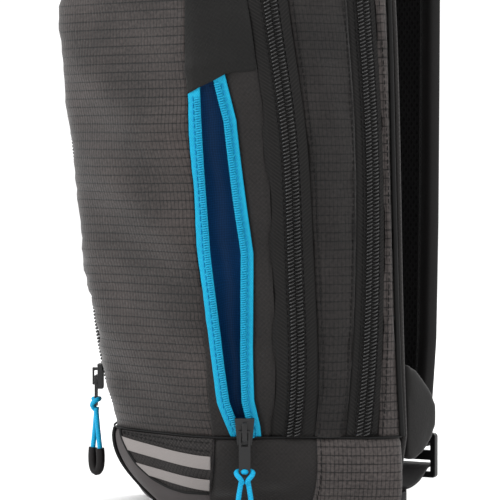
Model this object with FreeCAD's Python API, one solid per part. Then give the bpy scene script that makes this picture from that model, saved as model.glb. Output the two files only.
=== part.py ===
"""A slim hydration pack, about 440 mm tall: sewn shell, base, zips, straps and the reservoir inside it.

The pack stands on its base. X points to the wearer's left, Y towards the wearer's back, Z up, and the
origin is the middle of the base on the floor. Every dimension is in millimetres.
"""
import FreeCAD, Part
import math
import os

from FreeCAD import Vector

os.makedirs("parts", exist_ok=True)

# ---------------------------------------------------------------- driving dimensions

CLOTH = 1.2                # thickness of a sewn fabric wall
TAPE = 1.0                 # thickness of a zip tape
GAP = 0.4                  # clearance between pieces that move apart
SEAM = 0.3                 # room left between two walls that are sewn edge to edge
BASE_TOP = 46.0            # height of the seam round the base
FRONT_TAPE_WIDTH = 10.5    # one tape of the front zip
MAIN_TAPE_WIDTH = 8.0      # one tape of the main zip
POCKET_TAPE_WIDTH = 6.2    # one tape of the pocket zip
POCKET_TOP_T = 3.55        # place along the rings where the pocket opening ends
POCKET_DEPTH = 14.0
BACK_THICK = 5.4           # foam back panel
BACK_FRONT_Y = 46.0        # front face of the back panel
BACK_PAD_THICK = 9.0
STRAP_THICK = 9.0
WEBBING_THICK = 1.6
WEBBING_WIDTH = 20.0
BELT_WIDTH = 16.0
CORD_DIAMETER = 2.6
GRIP_DIAMETER = 4.6

# Half outlines of the shell, from the base seam up to the top middle: each ring has one point per station.
CROWN_RING = [(35.5, -23.5, 46), (38.0, -31, 84), (41, -40, 136), (44, -48.5, 190), (45.5, -52, 245),
              (44.5, -52, 300), (38, -48, 345), (23, -44, 373), (0, -42, 384)]
FRONT_ZIP_RING = [(61.5, 4.5, 46), (71, -2, 88), (73.5, -7, 136), (76.5, -14, 192), (71.5, -20.5, 250),
                  (66.5, -24, 305), (57, -24, 356), (36, -22, 390), (0, -20.5, 402)]
MAIN_ZIP_RING = [(87, 27, 46), (89.5, 29, 88), (90.2, 30.2, 136), (89.5, 29.8, 192), (85.5, 28.5, 250),
                 (79.5, 28, 308), (68.5, 29, 364), (44, 30, 404), (0, 30.5, 420)]
BACK_RING = [(96, 45, 46), (94, 44, 88), (92.5, 43.5, 136), (91, 43, 192), (88.5, 43.5, 250),
             (83, 44, 310), (71.5, 44.5, 370), (46, 45, 414), (0, 45, 432)]
# The pocket zip, as (place along the rings, millimetres): its start beside the crown, and its mouth's width.
POCKET_OFFSET = [(0, 8.1), (0.5, 3.3), (1, 2.2), (2, 0.3), (4, 0.3)]
POCKET_MOUTH = [(0, 2.6), (0.15, 4.0), (0.5, 5.7), (1.1, 8.6), (2, 14.3), (3.15, 10.5), (3.6, 5.0)]
# Half outlines of the base at rising heights: front middle, front corner, zip corner, side, back corner.
BASE_HEIGHTS = [0, 7, 17, 28, 38, BASE_TOP - GAP]
BASE_OUTLINES = [[(0, -6), (12, -3), (38, 18), (72, 36), (88, 45.0)],
                 [(0, -13), (18, -9), (46, 14), (79, 33), (94, 45.1)],
                 [(0, -21), (25.4, -16), (54, 10), (84, 30), (97, 45.2)],
                 [(0, -26), (32.5, -21.5), (60, 6), (87, 28), (97.5, 45.2)],
                 [(0, -28), (35.5, -24), (62, 4), (88, 27), (97, 45.2)],
                 [(0, -28), (35.5, -23.5), (61.5, 4.5), (87, 27), (96, 45.2)]]
LAST = len(CROWN_RING) - 1
MIDDLE_OF_SHELL = Vector(0, 24, 0)

# ---------------------------------------------------------------- helpers


def save(shape, node):
    """Writes one sub-part, after checking that it is closed and sound."""
    shape.exportStep("parts/" + node + ".step")
    sound = shape.isValid() and all(s.isClosed() for s in shape.Shells)
    print(f"{node:28s} solids {len(shape.Solids)}  volume {shape.Volume / 1000:8.2f} cm3  sound {sound}")
    return shape


def mirrored(shape):
    """The same piece on the other side of the pack."""
    return shape.mirror(Vector(0, 0, 0), Vector(1, 0, 0))


def polygon(points):
    return Part.makePolygon(list(points) + [points[0]])


def loft(sections, ruled=False):
    """A solid through closed sections that all have the same number of corners."""
    return Part.makeLoft([polygon(s) for s in sections], True, ruled)


def ring_curve(half):
    """A smooth arch through a half outline and its mirror image, one parameter step for each station."""
    right = [Vector(*p) for p in half]
    left = [Vector(-p.x, p.y, p.z) for p in reversed(right[:-1])]
    curve = Part.BSplineCurve()
    curve.interpolate(Points=right + left, Parameters=[float(i) for i in range(2 * LAST + 1)])
    return curve


CROWN = ring_curve(CROWN_RING)
FRONT_ZIP = ring_curve(FRONT_ZIP_RING)
MAIN_ZIP = ring_curve(MAIN_ZIP_RING)
BACK = ring_curve(BACK_RING)


def toward(curve, target, distance):
    """An edge that runs beside a ring, at a distance measured towards another ring."""
    def edge(t):
        start = curve.value(t)
        return start + (target.value(t) - start).normalize() * distance
    return edge


def outward(edge_a, edge_b, t):
    """The direction out of the shell at one place on the surface between two edges."""
    step = 0.02
    ahead, behind = min(t + step, 2 * LAST), max(t - step, 0)
    along = (edge_a(ahead) + edge_b(ahead)) - (edge_a(behind) + edge_b(behind))
    normal = along.cross(edge_b(t) - edge_a(t))
    if t <= step or t >= 2 * LAST - step:
        normal.z = 0
    normal.normalize()
    middle = (edge_a(t) + edge_b(t)) * 0.5
    centre = Vector(MIDDLE_OF_SHELL.x, MIDDLE_OF_SHELL.y, min(middle.z, 300))
    return normal if normal.dot(middle - centre) > 0 else normal * -1


def stations(start, end, per_step=2):
    """Places along a ring, close enough together for a smooth wall."""
    count = max(3, int(round((end - start) * per_step)) + 1)
    return [start + (end - start) * i / (count - 1) for i in range(count)]


def ribbon(edge_a, edge_b, start=0.0, end=2.0 * LAST, thick=CLOTH, lift=0.0, per_step=2):
    """A wall between two edges: its outer face lies on them, raised by lift, and it is thick inwards."""
    sections = []
    for t in stations(start, end, per_step):
        out = outward(edge_a, edge_b, t)
        a, b = edge_a(t), edge_b(t)
        sections.append([a + out * lift, b + out * lift, b + out * (lift - thick), a + out * (lift - thick)])
    return loft(sections)


def band(stops, thick, ruled=False):
    """A flat strap. Each stop is (centre, half width vector, direction of its thickness)."""
    sections = []
    for centre, half, side in stops:
        t = side * (thick / 2)
        sections.append([centre - half - t, centre + half - t, centre + half + t, centre - half + t])
    return loft(sections, ruled)


def strap_band(centres, halves, thick, ruled=False):
    """A flat strap along a list of centres, with its thickness square to its run and its width."""
    stops = []
    for i, centre in enumerate(centres):
        ahead = centres[min(i + 1, len(centres) - 1)]
        behind = centres[max(i - 1, 0)]
        side = (ahead - behind).cross(halves[i]).normalize()
        stops.append((centre, halves[i], side))
    return band(stops, thick, ruled)


def rounded_box(size_x, size_y, size_z, centre, radius):
    """A block with its four long edges along X rounded, set by its centre."""
    block = Part.makeBox(size_x, size_y, size_z, centre - Vector(size_x, size_y, size_z) * 0.5)
    edges = [e for e in block.Edges if abs(e.tangentAt(e.FirstParameter).x) > 0.9]
    return block.makeFillet(radius, edges)


def arc_route(points, diameter, name):
    """A cord: straight runs joined by tangent arcs, each as large as its two runs allow."""
    pieces = []
    radii = []
    start = points[0]
    for before, corner, after in zip(points, points[1:], points[2:]):
        a, b = before - corner, after - corner
        turn = math.pi - a.getAngle(b)
        reach = 0.45 * min(a.Length, b.Length)
        radius = reach / math.tan(turn / 2)
        radii.append(round(radius, 1))
        first = corner + a.normalize() * reach
        last = corner + b.normalize() * reach
        bisector = (a + b).normalize()
        centre = corner + bisector * math.hypot(radius, reach)
        middle = centre - bisector * radius
        pieces.append(Part.LineSegment(start, first).toShape())
        pieces.append(Part.Arc(first, middle, last).toShape())
        start = last
    pieces.append(Part.LineSegment(start, points[-1]).toShape())
    path = Part.Wire(pieces)
    section = Part.Wire(Part.makeCircle(diameter / 2, points[0], points[1] - points[0]))
    tube = path.makePipeShell([section], True, False)
    expected = math.pi * diameter ** 2 / 4 * path.Length
    print(f"{name} radii {radii} length {path.Length:.1f} volume/expected {tube.Volume / expected:.4f}")
    return tube


# ---------------------------------------------------------------- shell

front_zip_outer = toward(FRONT_ZIP, CROWN, FRONT_TAPE_WIDTH)
front_zip_inner = toward(FRONT_ZIP, MAIN_ZIP, FRONT_TAPE_WIDTH)
main_zip_outer = toward(MAIN_ZIP, FRONT_ZIP, MAIN_TAPE_WIDTH)
main_zip_inner = toward(MAIN_ZIP, BACK, MAIN_TAPE_WIDTH)
corner_edge = toward(FRONT_ZIP, CROWN, FRONT_TAPE_WIDTH + SEAM)
band_front_edge = toward(FRONT_ZIP, MAIN_ZIP, FRONT_TAPE_WIDTH + SEAM)
band_rear_edge = toward(MAIN_ZIP, FRONT_ZIP, MAIN_TAPE_WIDTH + SEAM)
rear_band_edge = toward(MAIN_ZIP, BACK, MAIN_TAPE_WIDTH + SEAM)


def table_value(table, t):
    """The value of a short table at t, in straight lines between its rows."""
    for (t0, v0), (t1, v1) in zip(table, table[1:]):
        if t <= t1:
            return v0 + (v1 - v0) * max(t - t0, 0) / (t1 - t0)
    return table[-1][1]


def pocket_edge(tapes, mouths):
    """An edge of the pocket zip: past so many tapes and mouths, counted from the crown."""
    def edge(t):
        start, mouth = table_value(POCKET_OFFSET, t), table_value(POCKET_MOUTH, t)
        return toward(CROWN, FRONT_ZIP, start + tapes * POCKET_TAPE_WIDTH + mouths * mouth)(t)
    return edge


def front_panel():
    """The ripstop front: rows from the base seam to the top, each crowned a little in its middle."""
    sections = []
    for t in stations(0, LAST - 0.35, 1.6):
        edge = CROWN.value(t)
        half = edge.x - CLOTH - SEAM
        shares = [-1, -0.6, 0, 0.6, 1]
        outer = [Vector(half * s, edge.y - 4 * (1 - s * s), edge.z) for s in shares]
        inner = [p + Vector(0, CLOTH, 0) for p in reversed(outer)]
        sections.append(outer + inner)
    return loft(sections, True)


def corner_left():
    return mirrored(ribbon(CROWN.value, corner_edge, 0, LAST))


def corner_right():
    """The black panel beside and above the pocket mouth, and the strip under its front end."""
    beside = ribbon(pocket_edge(2.06, 1), corner_edge, 0, POCKET_TOP_T)
    above = ribbon(CROWN.value, corner_edge, POCKET_TOP_T + 0.04, LAST)
    strip = ribbon(CROWN.value, pocket_edge(-0.25, 0), 0, 0.75, per_step=4)
    return Part.Compound([beside, above, strip])


def pocket_lining():
    """A pouch behind the pocket mouth, open towards it, with a floor at its lower end."""
    sections, floor = [], []
    for t in stations(0.35, POCKET_TOP_T - 0.25, 1.6):
        edge = CROWN.value(t)
        across = (FRONT_ZIP.value(t) - edge)
        across.z = 0
        across.normalize()
        inward = Vector(across.y, -across.x, 0) * -1
        width = table_value(POCKET_OFFSET, t) + 2 * POCKET_TAPE_WIDTH + table_value(POCKET_MOUTH, t) - 1.5
        lip, wall = 1.8, 0.9
        a = edge + across * 1.5 + inward * lip
        b = edge + across * width + inward * lip
        deep = inward * POCKET_DEPTH
        inner_a, inner_b = a + across * wall, b - across * wall
        inner_deep = deep - inward * wall
        outer = [a, a + deep, b + deep, b]
        inner = [inner_b, inner_b + inner_deep, inner_a + inner_deep, inner_a]
        sections.append(outer + inner)
        floor = floor or [a, a + deep, b + deep, b]
    pouch = loft(sections, True)
    base = Part.Face(polygon([p - Vector(0, 0, 0.9) for p in floor])).extrude(Vector(0, 0, 0.9))
    return pouch.fuse(base).removeSplitter()


def divider():
    """The cloth wall between the two compartments, hung just behind the front zip."""
    sections = []
    for t in stations(0.05, LAST - 0.5, 1.2):
        p = FRONT_ZIP.value(t)
        half, y = p.x - 3.0, p.y + 3.5
        row = [Vector(-half, y, p.z), Vector(half, y, p.z)]
        sections.append(row + [q + Vector(0, 0.8, 0) for q in reversed(row)])
    return loft(sections, True)


def arch_plate(front_y, thick, inset, bottom, bottom_half):
    """A plate with the outline of the back ring, pulled in by inset, down to a straight lower edge."""
    right = []
    for t in stations(0, LAST, 1):
        p = BACK.value(t)
        right.append(Vector(max(p.x - inset, 0), front_y, p.z - inset * (p.z > 300)))
    left = [Vector(-p.x, p.y, p.z) for p in reversed(right[:-1])]
    arch = Part.BSplineCurve()
    arch.interpolate(right + left)
    a, b = Vector(bottom_half, front_y, bottom), Vector(-bottom_half, front_y, bottom)
    lower = [Part.makeLine(left[-1], b), Part.makeLine(b, a), Part.makeLine(a, right[0])]
    outline = Part.Wire([arch.toShape()] + lower)
    return Part.Face(outline).extrude(Vector(0, thick, 0))


def base_corner(level, corner, inside):
    """One corner of the base outline at one height; inside gives the wall's inner face."""
    points = BASE_OUTLINES[level]
    p = Vector(*points[corner], 0)
    before = Vector(*points[corner - 1], 0) if corner else Vector(-points[1][0], points[1][1], 0)
    after = Vector(*points[corner + 1], 0) if corner < 4 else p + Vector(0, 5, 0)
    a, b = (p - before).normalize(), (after - p).normalize()
    normal = (Vector(-a.y, a.x, 0) + Vector(-b.y, b.x, 0)).normalize()
    reach = CLOTH / max(0.5, normal.dot(Vector(-a.y, a.x, 0)))
    if corner == 4:
        return Vector(p.x - inside * CLOTH, p.y, BASE_HEIGHTS[level])
    return Vector(p.x + inside * normal.x * reach, p.y + inside * normal.y * reach, BASE_HEIGHTS[level])


def base_wall(first, last):
    """A wall of the base between two corners of its outline."""
    sections = []
    for level in range(len(BASE_HEIGHTS)):
        outer = [base_corner(level, c, 0) for c in range(first, last + 1)]
        inner = [base_corner(level, c, 1) for c in range(last, first - 1, -1)]
        sections.append(outer + inner)
    return loft(sections, True)


def base_front():
    """The front wall of the base, in one piece from corner to corner."""
    right = base_wall(0, 1)
    return right.fuse(mirrored(right)).removeSplitter()


def base_floor():
    """The panel that the pack stands on."""
    right = [base_corner(0, c, 1) for c in range(5)]
    left = [Vector(-p.x, p.y, p.z) for p in reversed(right[1:])]
    return Part.Face(polygon(right + left)).extrude(Vector(0, 0, 1.5))


def base_strip(low, high, proud=0.8):
    """A reflective stripe across the front of the base, between two heights."""
    sections = []
    for share in (-0.55, -0.25, 0, 0.35, 0.65, 0.92):
        row = []
        for z in (low, high):
            below = max(i for i in range(5) if BASE_HEIGHTS[i] <= z)
            part = (z - BASE_HEIGHTS[below]) / (BASE_HEIGHTS[below + 1] - BASE_HEIGHTS[below])
            edge = base_corner(below, 1, 0) * (1 - part) + base_corner(below + 1, 1, 0) * part
            middle = base_corner(below, 0, 0) * (1 - part) + base_corner(below + 1, 0, 0) * part
            row.append(Vector(edge.x * share, middle.y + (edge.y - middle.y) * abs(share), z))
        sections.append([row[0], row[1], row[1] - Vector(0, proud, 0), row[0] - Vector(0, proud, 0)])
    return loft(sections, True)


# ---------------------------------------------------------------- zip sliders and their pulls

PIN_Y = -5.35              # place of the puller's pin in front of the zip


def turned(shape, place, outward_xy):
    """Sets a shape that was built facing -Y at a place, facing another way."""
    angle = math.degrees(math.atan2(outward_xy.x, -outward_xy.y))
    shape = shape.copy()
    shape.rotate(Vector(0, 0, 0), Vector(0, 0, 1), angle)
    shape.translate(place)
    return shape


def slider_body():
    """The moulded slider: a wedge that spans the coil, with a bridge that holds the puller."""
    ends = []
    for half, z in ((3.6, -6.5), (4.8, 6.5)):
        corners = [(-half, -4.3), (half, -4.3), (half, -1.7), (-half, -1.7)]
        ends.append([Vector(x, y, z) for x, y in corners])
    wedge = loft(ends, True)
    bridge = Part.makeBox(2.4, 3.1, 9.0, Vector(-1.2, -7.3, -4.5))
    slot = Part.makeBox(2.4, 2.1, 6.0, Vector(-1.2, -6.4, -3.0))
    return wedge.fuse(bridge.cut(slot)).removeSplitter()


EYE_TO_CORD = 3.6          # from the middle of the stem's eye down to where the cord leaves its knot
CORD_HALF = [(1.5, 0), (2.8, 0.35), (3.4, 0.7), (3.0, 1)]    # one side of a cord: x, share of its drop
GRIP_HALF = [(3.26, 0.62), (3.4, 0.7), (3.0, 1)]               # the same for the tube round its lower end


def puller(eye_z):
    """A cross pin under the bridge, two arms beside it and a stem with an eye for the cord."""
    pin = Part.makeCylinder(0.7, 5.6, Vector(-2.8, PIN_Y, 0), Vector(1, 0, 0))
    arms = [Part.makeBox(1.1, 1.3, 8.0, Vector(x, PIN_Y - 0.65, -8.0)) for x in (-2.8, 1.7)]
    bottom = eye_z - 2.7
    stem = Part.makeBox(5.6, 1.3, -7 - bottom, Vector(-2.8, PIN_Y - 0.65, bottom))
    eye = Part.makeCylinder(1.7, 3, Vector(0, PIN_Y - 1.5, eye_z), Vector(0, 1, 0))
    return pin.multiFuse(arms + [stem]).cut(eye).removeSplitter()


def pull_loop(half, top, drop):
    """A loop that hangs from the stem's eye: down one side, round at the bottom and up the other side."""
    left = [Vector(-x, PIN_Y, top - share * drop) for x, share in half]
    right = [Vector(x, PIN_Y, top - share * drop) for x, share in reversed(half)]
    return left + right


def zip_pull(name, place, facing, eye_z, drop, tilt):
    """The slider, puller, cord and grip of one zip; tilt swings the pull off the cloth below it."""
    top = eye_z - EYE_TO_CORD
    def hung(shape):
        shape = shape.copy()
        shape.rotate(Vector(0, PIN_Y, 0), Vector(-1, 0, 0), tilt)
        return turned(shape, place, facing)

    save(turned(slider_body(), place, facing), name + "_slider")
    save(hung(puller(eye_z)), name + "_puller")
    cord = arc_route(pull_loop(CORD_HALF, top, drop), CORD_DIAMETER, name + "_pull_cord")
    save(hung(cord), name + "_pull_cord")
    grip = arc_route(pull_loop(GRIP_HALF, top, drop), GRIP_DIAMETER, name + "_pull_grip")
    save(hung(grip.cut(cord)), name + "_pull_grip")
    pin = turned(Part.Vertex(0, PIN_Y, 0), place, facing).Point
    print(f"{name} pin at {[round(c, 2) for c in pin]} facing {[round(c, 3) for c in facing]}")


# ---------------------------------------------------------------- shoulder straps, webbing and buckles

STRAP_ROUTE = [(42, 57, 384), (42, 60, 404), (42, 70, 419), (43.5, 85, 418), (46, 96, 396), (49.5, 100, 350),
               (51, 101, 290), (51, 101, 220), (51, 100.5, 150), (51, 100, 90), (51.5, 99.5, 50)]
STRAP_HALF = [17, 18, 20, 22, 23.5, 24, 24, 24, 24, 23, 18]
STRAP_TURN = [0, 0, 4, 8, 12, 15, 15, 15, 15, 15, 15]    # degrees that its outer edge is turned forward
ADJUSTER_ROUTE = [(83, 51.6, 19.5), (81, 57, 19.7), (74, 70, 21.2),
                  (64, 86, 23.6), (57, 97, 24), (54.5, 106, 24)]
ADJUSTER_TURN = [0, 12, 26, 27, 20, 15]     # degrees that its width is turned from the back panel's
LOCK_CENTRE = Vector(56, 98.5, 29.5)
LOCK_TURN = 15
LOCK_BAR = 2.5             # half height of the lock's middle bar
LOCK_SLOT = 6.0
LOCK_THICK = 3.2


def strap_halves():
    halves = []
    for turn, half in zip(STRAP_TURN, STRAP_HALF):
        angle = math.radians(turn)
        halves.append(Vector(math.cos(angle), -math.sin(angle), 0) * half)
    return halves


def shoulder_strap():
    return strap_band([Vector(*p) for p in STRAP_ROUTE], strap_halves(), STRAP_THICK)


def adjuster_webbing():
    """The webbing from the lower back corner to the ladder lock under the strap."""
    stops = []
    for p, a in zip(ADJUSTER_ROUTE, ADJUSTER_TURN):
        half = Vector(math.cos(math.radians(a)), math.sin(math.radians(a)), 0) * (WEBBING_WIDTH / 2)
        stops.append((Vector(*p), half, Vector(0, 0, 1)))
    return band(stops, WEBBING_THICK)


def at_lock(shape):
    shape = shape.copy()
    shape.rotate(Vector(0, 0, 0), Vector(0, 0, 1), LOCK_TURN)
    shape.translate(LOCK_CENTRE)
    return shape


def ladder_lock():
    """A flat frame with two slots; it hangs from a tab at the strap's lower end."""
    top = LOCK_BAR + LOCK_SLOT + 3.0
    frame = Part.makeBox(28, LOCK_THICK, 2 * top, Vector(-14, -LOCK_THICK / 2, -top))
    frame = frame.makeFillet(2, [e for e in frame.Edges if abs(e.tangentAt(e.FirstParameter).y) > 0.9])
    for z in (-LOCK_BAR - LOCK_SLOT, LOCK_BAR):
        frame = frame.cut(Part.makeBox(22, LOCK_THICK, LOCK_SLOT, Vector(-11, -LOCK_THICK / 2, z)))
    return at_lock(frame)


def strap_tab():
    """The webbing loop that goes round the lock's top bar and up to the strap's end."""
    low, top = LOCK_BAR + 2.0, 20.4
    loop = Part.makeBox(19, 8.4, top - low, Vector(-9.5, -4.2, low))
    return at_lock(loop.cut(Part.makeBox(19, 5.6, top - low - 3.0, Vector(-9.5, -2.8, low + 1.6))))


def side_wing():
    """The padded wing beside the lower back."""
    outline = [(51.8, 34), (51.8, 82), (57, 80), (68, 71), (76, 58), (75, 46), (67, 36), (57, 32)]
    curve = Part.BSplineCurve()
    curve.interpolate([Vector(88, y, z) for y, z in outline[1:]])
    a, b, c = [Vector(88, *outline[i]) for i in (0, 1, -1)]
    wire = Part.Wire([curve.toShape(), Part.makeLine(c, a), Part.makeLine(a, b)])
    return Part.Face(wire).extrude(Vector(6, 0, 0))


BELT_ROUTE = [(86, 52.4, 8), (83.5, 59, 8), (78, 66, 8.2), (70, 72.5, 8.8), (60, 77.5, 10), (50, 80.6, 11.2)]
BUCKLE_Y = 82.0
BUCKLE_Z = 11.5
SLOT_GAP = 0.5             # clearance round webbing in a buckle's loop


def belt_webbing(inner_end, behind):
    """One side of the waist belt, on its edge and resting on the floor; behind moves its end back."""
    centres = [Vector(x, y + behind * i / 5, z) for i, (x, y, z) in enumerate(BELT_ROUTE)]
    centres += [Vector(x, BUCKLE_Y + behind, BUCKLE_Z) for x in (44, 30, inner_end)]
    return strap_band(centres, [Vector(0, 0, BELT_WIDTH / 2)] * len(centres), WEBBING_THICK, ruled=True)


def buckle_female(width, length, depth, centre, slot_width):
    """The socket of a side-release buckle: open at its inner end, with a bar for webbing at the other."""
    body = rounded_box(length, depth, width, centre + Vector(-length / 2, 0, 0), 2.2)
    mouth = Part.makeBox(length * 0.72, depth - 3.2, width - 4.0,
                         centre + Vector(-length * 0.72, -(depth - 3.2) / 2, -(width - 4.0) / 2))
    bar = Part.makeBox(3.2, depth, slot_width, centre + Vector(-length + 2.4, -depth / 2, -slot_width / 2))
    windows = Part.makeBox(8.0, depth - 3.2, width,
                           centre + Vector(-length * 0.5, -(depth - 3.2) / 2, -width / 2))
    return body.cut(mouth).cut(bar).cut(windows)


def webbing_offset(depth):
    """How far behind the middle of a buckle its second webbing runs."""
    return depth / 2 + SLOT_GAP + WEBBING_THICK / 2


def buckle_male(width, length, depth, centre, slot_width):
    """The prongs of a side-release buckle, with a loop behind them for the webbing that they slide along."""
    start, run = 0.4, length * 0.42
    plate = rounded_box(run, depth, width, centre + Vector(run / 2 + start, 0, 0), 2.2)
    loop_depth = WEBBING_THICK + 2 * SLOT_GAP
    loop = Part.makeBox(run - 3, loop_depth + 2.2, width,
                        centre + Vector(start + 1.5, depth / 2 - 1, -width / 2))
    slot = Part.makeBox(run, loop_depth, slot_width, centre + Vector(start, depth / 2, -slot_width / 2))
    thin = depth - 3.2 - 2 * GAP
    reach = length * 0.55
    prongs = []
    for z in (-(width - 4.0) / 2 + GAP, (width - 4.0) / 2 - GAP - 3.0):
        prongs.append(Part.makeBox(reach, thin, 3.0, centre + Vector(-reach + 0.8, -thin / 2, z)))
    prongs.append(Part.makeBox(reach * 0.8, thin, 2.6, centre + Vector(-reach * 0.8 + 0.8, -thin / 2, -1.3)))
    return plate.multiFuse(prongs + [loop]).cut(slot).removeSplitter()


CHEST_Z = 300.0
CHEST_Y = 113.0
CHEST_DEPTH = 8.0
RAIL_X = 47.0


def chest_rail():
    """A raised rail on the outer face of the strap, along which the chest strap is set to height."""
    return Part.makeBox(5, 2.2, 84, Vector(RAIL_X - 2.5, 107.8, CHEST_Z - 42))


def chest_clip():
    """The clip that holds the chest webbing and slides on the rail."""
    block = Part.makeBox(12, 9.4, 20, Vector(RAIL_X - 6, 110.4, CHEST_Z - 10))
    return block.makeFillet(1.5, [e for e in block.Edges if abs(e.tangentAt(e.FirstParameter).z) > 0.9])


def chest_webbing(inner_end, y):
    return Part.makeBox(RAIL_X - 6 - inner_end, WEBBING_THICK, BELT_WIDTH,
                        Vector(inner_end, y - WEBBING_THICK / 2, CHEST_Z - BELT_WIDTH / 2))


# ---------------------------------------------------------------- carrying handle, hose port and reservoir


def top_handle():
    """A webbing loop above the back panel."""
    right = [(19, 404), (20, 430), (17, 441), (10, 449)]
    arch = [(-x, z) for x, z in right] + [(0, 452)] + right[::-1]
    centres = [Vector(x, 55.3, z) for x, z in arch]
    return strap_band(centres, [Vector(0, 3.6, 0)] * len(centres), 3.0, ruled=True)


def hose_port():
    """The moulded rim of the slot that the drinking hose comes out of."""
    rim = Part.makeBox(26, 3.0, 12, Vector(30, 51.6, 408))
    rim = rim.makeFillet(3.0, [e for e in rim.Edges if abs(e.tangentAt(e.FirstParameter).y) > 0.9])
    return rim.cut(Part.makeBox(17, 3.0, 5, Vector(34.5, 51.6, 411.5)))


RESERVOIR_HALF = 62.0
RESERVOIR_Y = (25.5, 40.5)
RESERVOIR_Z = (62.0, 350.0)
FILLER_Z = 300.0


def pillow(half, front, rear, bottom, top):
    """A flat bag with rounded corners."""
    body = Part.makeBox(2 * half, rear - front, top - bottom, Vector(-half, front, bottom))
    body = body.makeFillet(18, [e for e in body.Edges if abs(e.tangentAt(e.FirstParameter).y) > 0.9])
    return body.makeFillet((rear - front) * 0.4, [e for e in body.Edges if abs(e.CenterOfMass.y - front) < 0.1
                                                  or abs(e.CenterOfMass.y - rear) < 0.1])


def reservoir():
    """The drinking bag: a thin shell with a round mouth in its front face."""
    wall = 0.9
    outer = pillow(RESERVOIR_HALF, RESERVOIR_Y[0], RESERVOIR_Y[1], *RESERVOIR_Z)
    inner = pillow(RESERVOIR_HALF - wall, RESERVOIR_Y[0] + wall, RESERVOIR_Y[1] - wall,
                   RESERVOIR_Z[0] + wall, RESERVOIR_Z[1] - wall)
    mouth = Part.makeCylinder(26, 4, Vector(0, RESERVOIR_Y[0] - 1, FILLER_Z), Vector(0, 1, 0))
    outlet = Part.makeCylinder(4.4, 4, Vector(0, RESERVOIR_Y[0] - 1, RESERVOIR_Z[0] + 26), Vector(0, 1, 0))
    return outer.cut(inner).cut(mouth).cut(outlet)


def filler_ring():
    """The threaded mouth that the cap closes, with a flange inside the bag."""
    neck = Part.makeCylinder(25.9, 10.6, Vector(0, 17.2, FILLER_Z), Vector(0, 1, 0))
    flange = Part.makeCylinder(29.5, 1.4, Vector(0, RESERVOIR_Y[0] + 0.9, FILLER_Z), Vector(0, 1, 0))
    return neck.fuse(flange).cut(Part.makeCylinder(23.6, 12, Vector(0, 17, FILLER_Z), Vector(0, 1, 0)))


def screw_cap():
    """The cap over the filler ring, with a bar across it to turn it by."""
    cap = Part.makeCylinder(29.6, 7.4, Vector(0, 14.6, FILLER_Z), Vector(0, 1, 0))
    cap = cap.cut(Part.makeCylinder(27.4, 5.4, Vector(0, 16.6, FILLER_Z), Vector(0, 1, 0)))
    bar = rounded_box(40, 3.0, 8, Vector(0, 13.2, FILLER_Z), 1.2)
    return cap.fuse(bar).removeSplitter()


def outlet_fitting():
    """The hose connector low on the reservoir, with a barb pointing up."""
    z = RESERVOIR_Z[0] + 26
    neck = Part.makeCylinder(4.1, 9.0, Vector(0, 17.6, z), Vector(0, 1, 0))
    flange = Part.makeCylinder(7.5, 1.2, Vector(0, RESERVOIR_Y[0] + 0.9, z), Vector(0, 1, 0))
    elbow = Part.makeCylinder(5.2, 22, Vector(0, 17.6, z - 5.2), Vector(0, 0, 1))
    socket = Part.makeCylinder(3.0, 14, Vector(0, 17.6, z + 2.8), Vector(0, 0, 1))
    well = Part.makeCylinder(2.5, 3.0, Vector(0, 11.9, z + 8), Vector(0, 1, 0))
    return elbow.multiFuse([neck, flange]).cut(socket).cut(well).removeSplitter()


def outlet_button():
    z = RESERVOIR_Z[0] + 26 + 8
    return Part.makeCylinder(2.2, 2.6, Vector(0, 9.6, z), Vector(0, 1, 0))


def reservoir_sleeve():
    """The open-topped pocket in front of the back panel that holds the reservoir."""
    front = Part.makeBox(140, 0.9, 190, Vector(-70, 22.9, 54))
    window = Part.makeBox(34, 0.9, 60, Vector(-17, 22.9, 70))
    sides = [Part.makeBox(0.9, 21.2, 190, Vector(x, 23.8, 54)) for x in (-70, 69.1)]
    floor = Part.makeBox(140, 21.2, 0.9, Vector(-70, 23.8, 54))
    return front.cut(window).multiFuse(sides + [floor]).removeSplitter()


# ---------------------------------------------------------------- build every sub-part

save(front_panel(), "front_panel")
save(corner_left(), "corner_panel_left")
save(corner_right(), "corner_panel_right")
save(ribbon(pocket_edge(0, 0), pocket_edge(1, 0), 0, POCKET_TOP_T, TAPE), "pocket_zip_front_half")
save(ribbon(pocket_edge(1, 1), pocket_edge(2, 1), 0, POCKET_TOP_T, TAPE), "pocket_zip_rear_half")
save(pocket_lining(), "pocket_lining")
save(ribbon(front_zip_outer, toward(FRONT_ZIP, CROWN, GAP), thick=TAPE), "front_zip_front_half")

save(ribbon(toward(FRONT_ZIP, MAIN_ZIP, GAP), front_zip_inner, thick=TAPE), "front_zip_rear_half")
save(ribbon(band_front_edge, band_rear_edge), "middle_band")
save(ribbon(main_zip_outer, toward(MAIN_ZIP, FRONT_ZIP, GAP), thick=TAPE), "main_zip_front_half")
save(divider(), "divider")

save(ribbon(toward(MAIN_ZIP, BACK, GAP), main_zip_inner, thick=TAPE), "main_zip_rear_half")
save(ribbon(rear_band_edge, BACK.value), "rear_band")
save(arch_plate(BACK_FRONT_Y, BACK_THICK, 0.0, 2.0, 88), "back_panel")
save(base_front(), "base_front")
side = base_wall(1, 4)
save(side, "base_side_right")
save(mirrored(side), "base_side_left")
save(base_floor(), "base_floor")
save(Part.Compound([base_strip(19.5, 25.5), base_strip(30, 36)]), "reflective_stripes")

pad_back = BACK_FRONT_Y + BACK_THICK + 0.3


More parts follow.
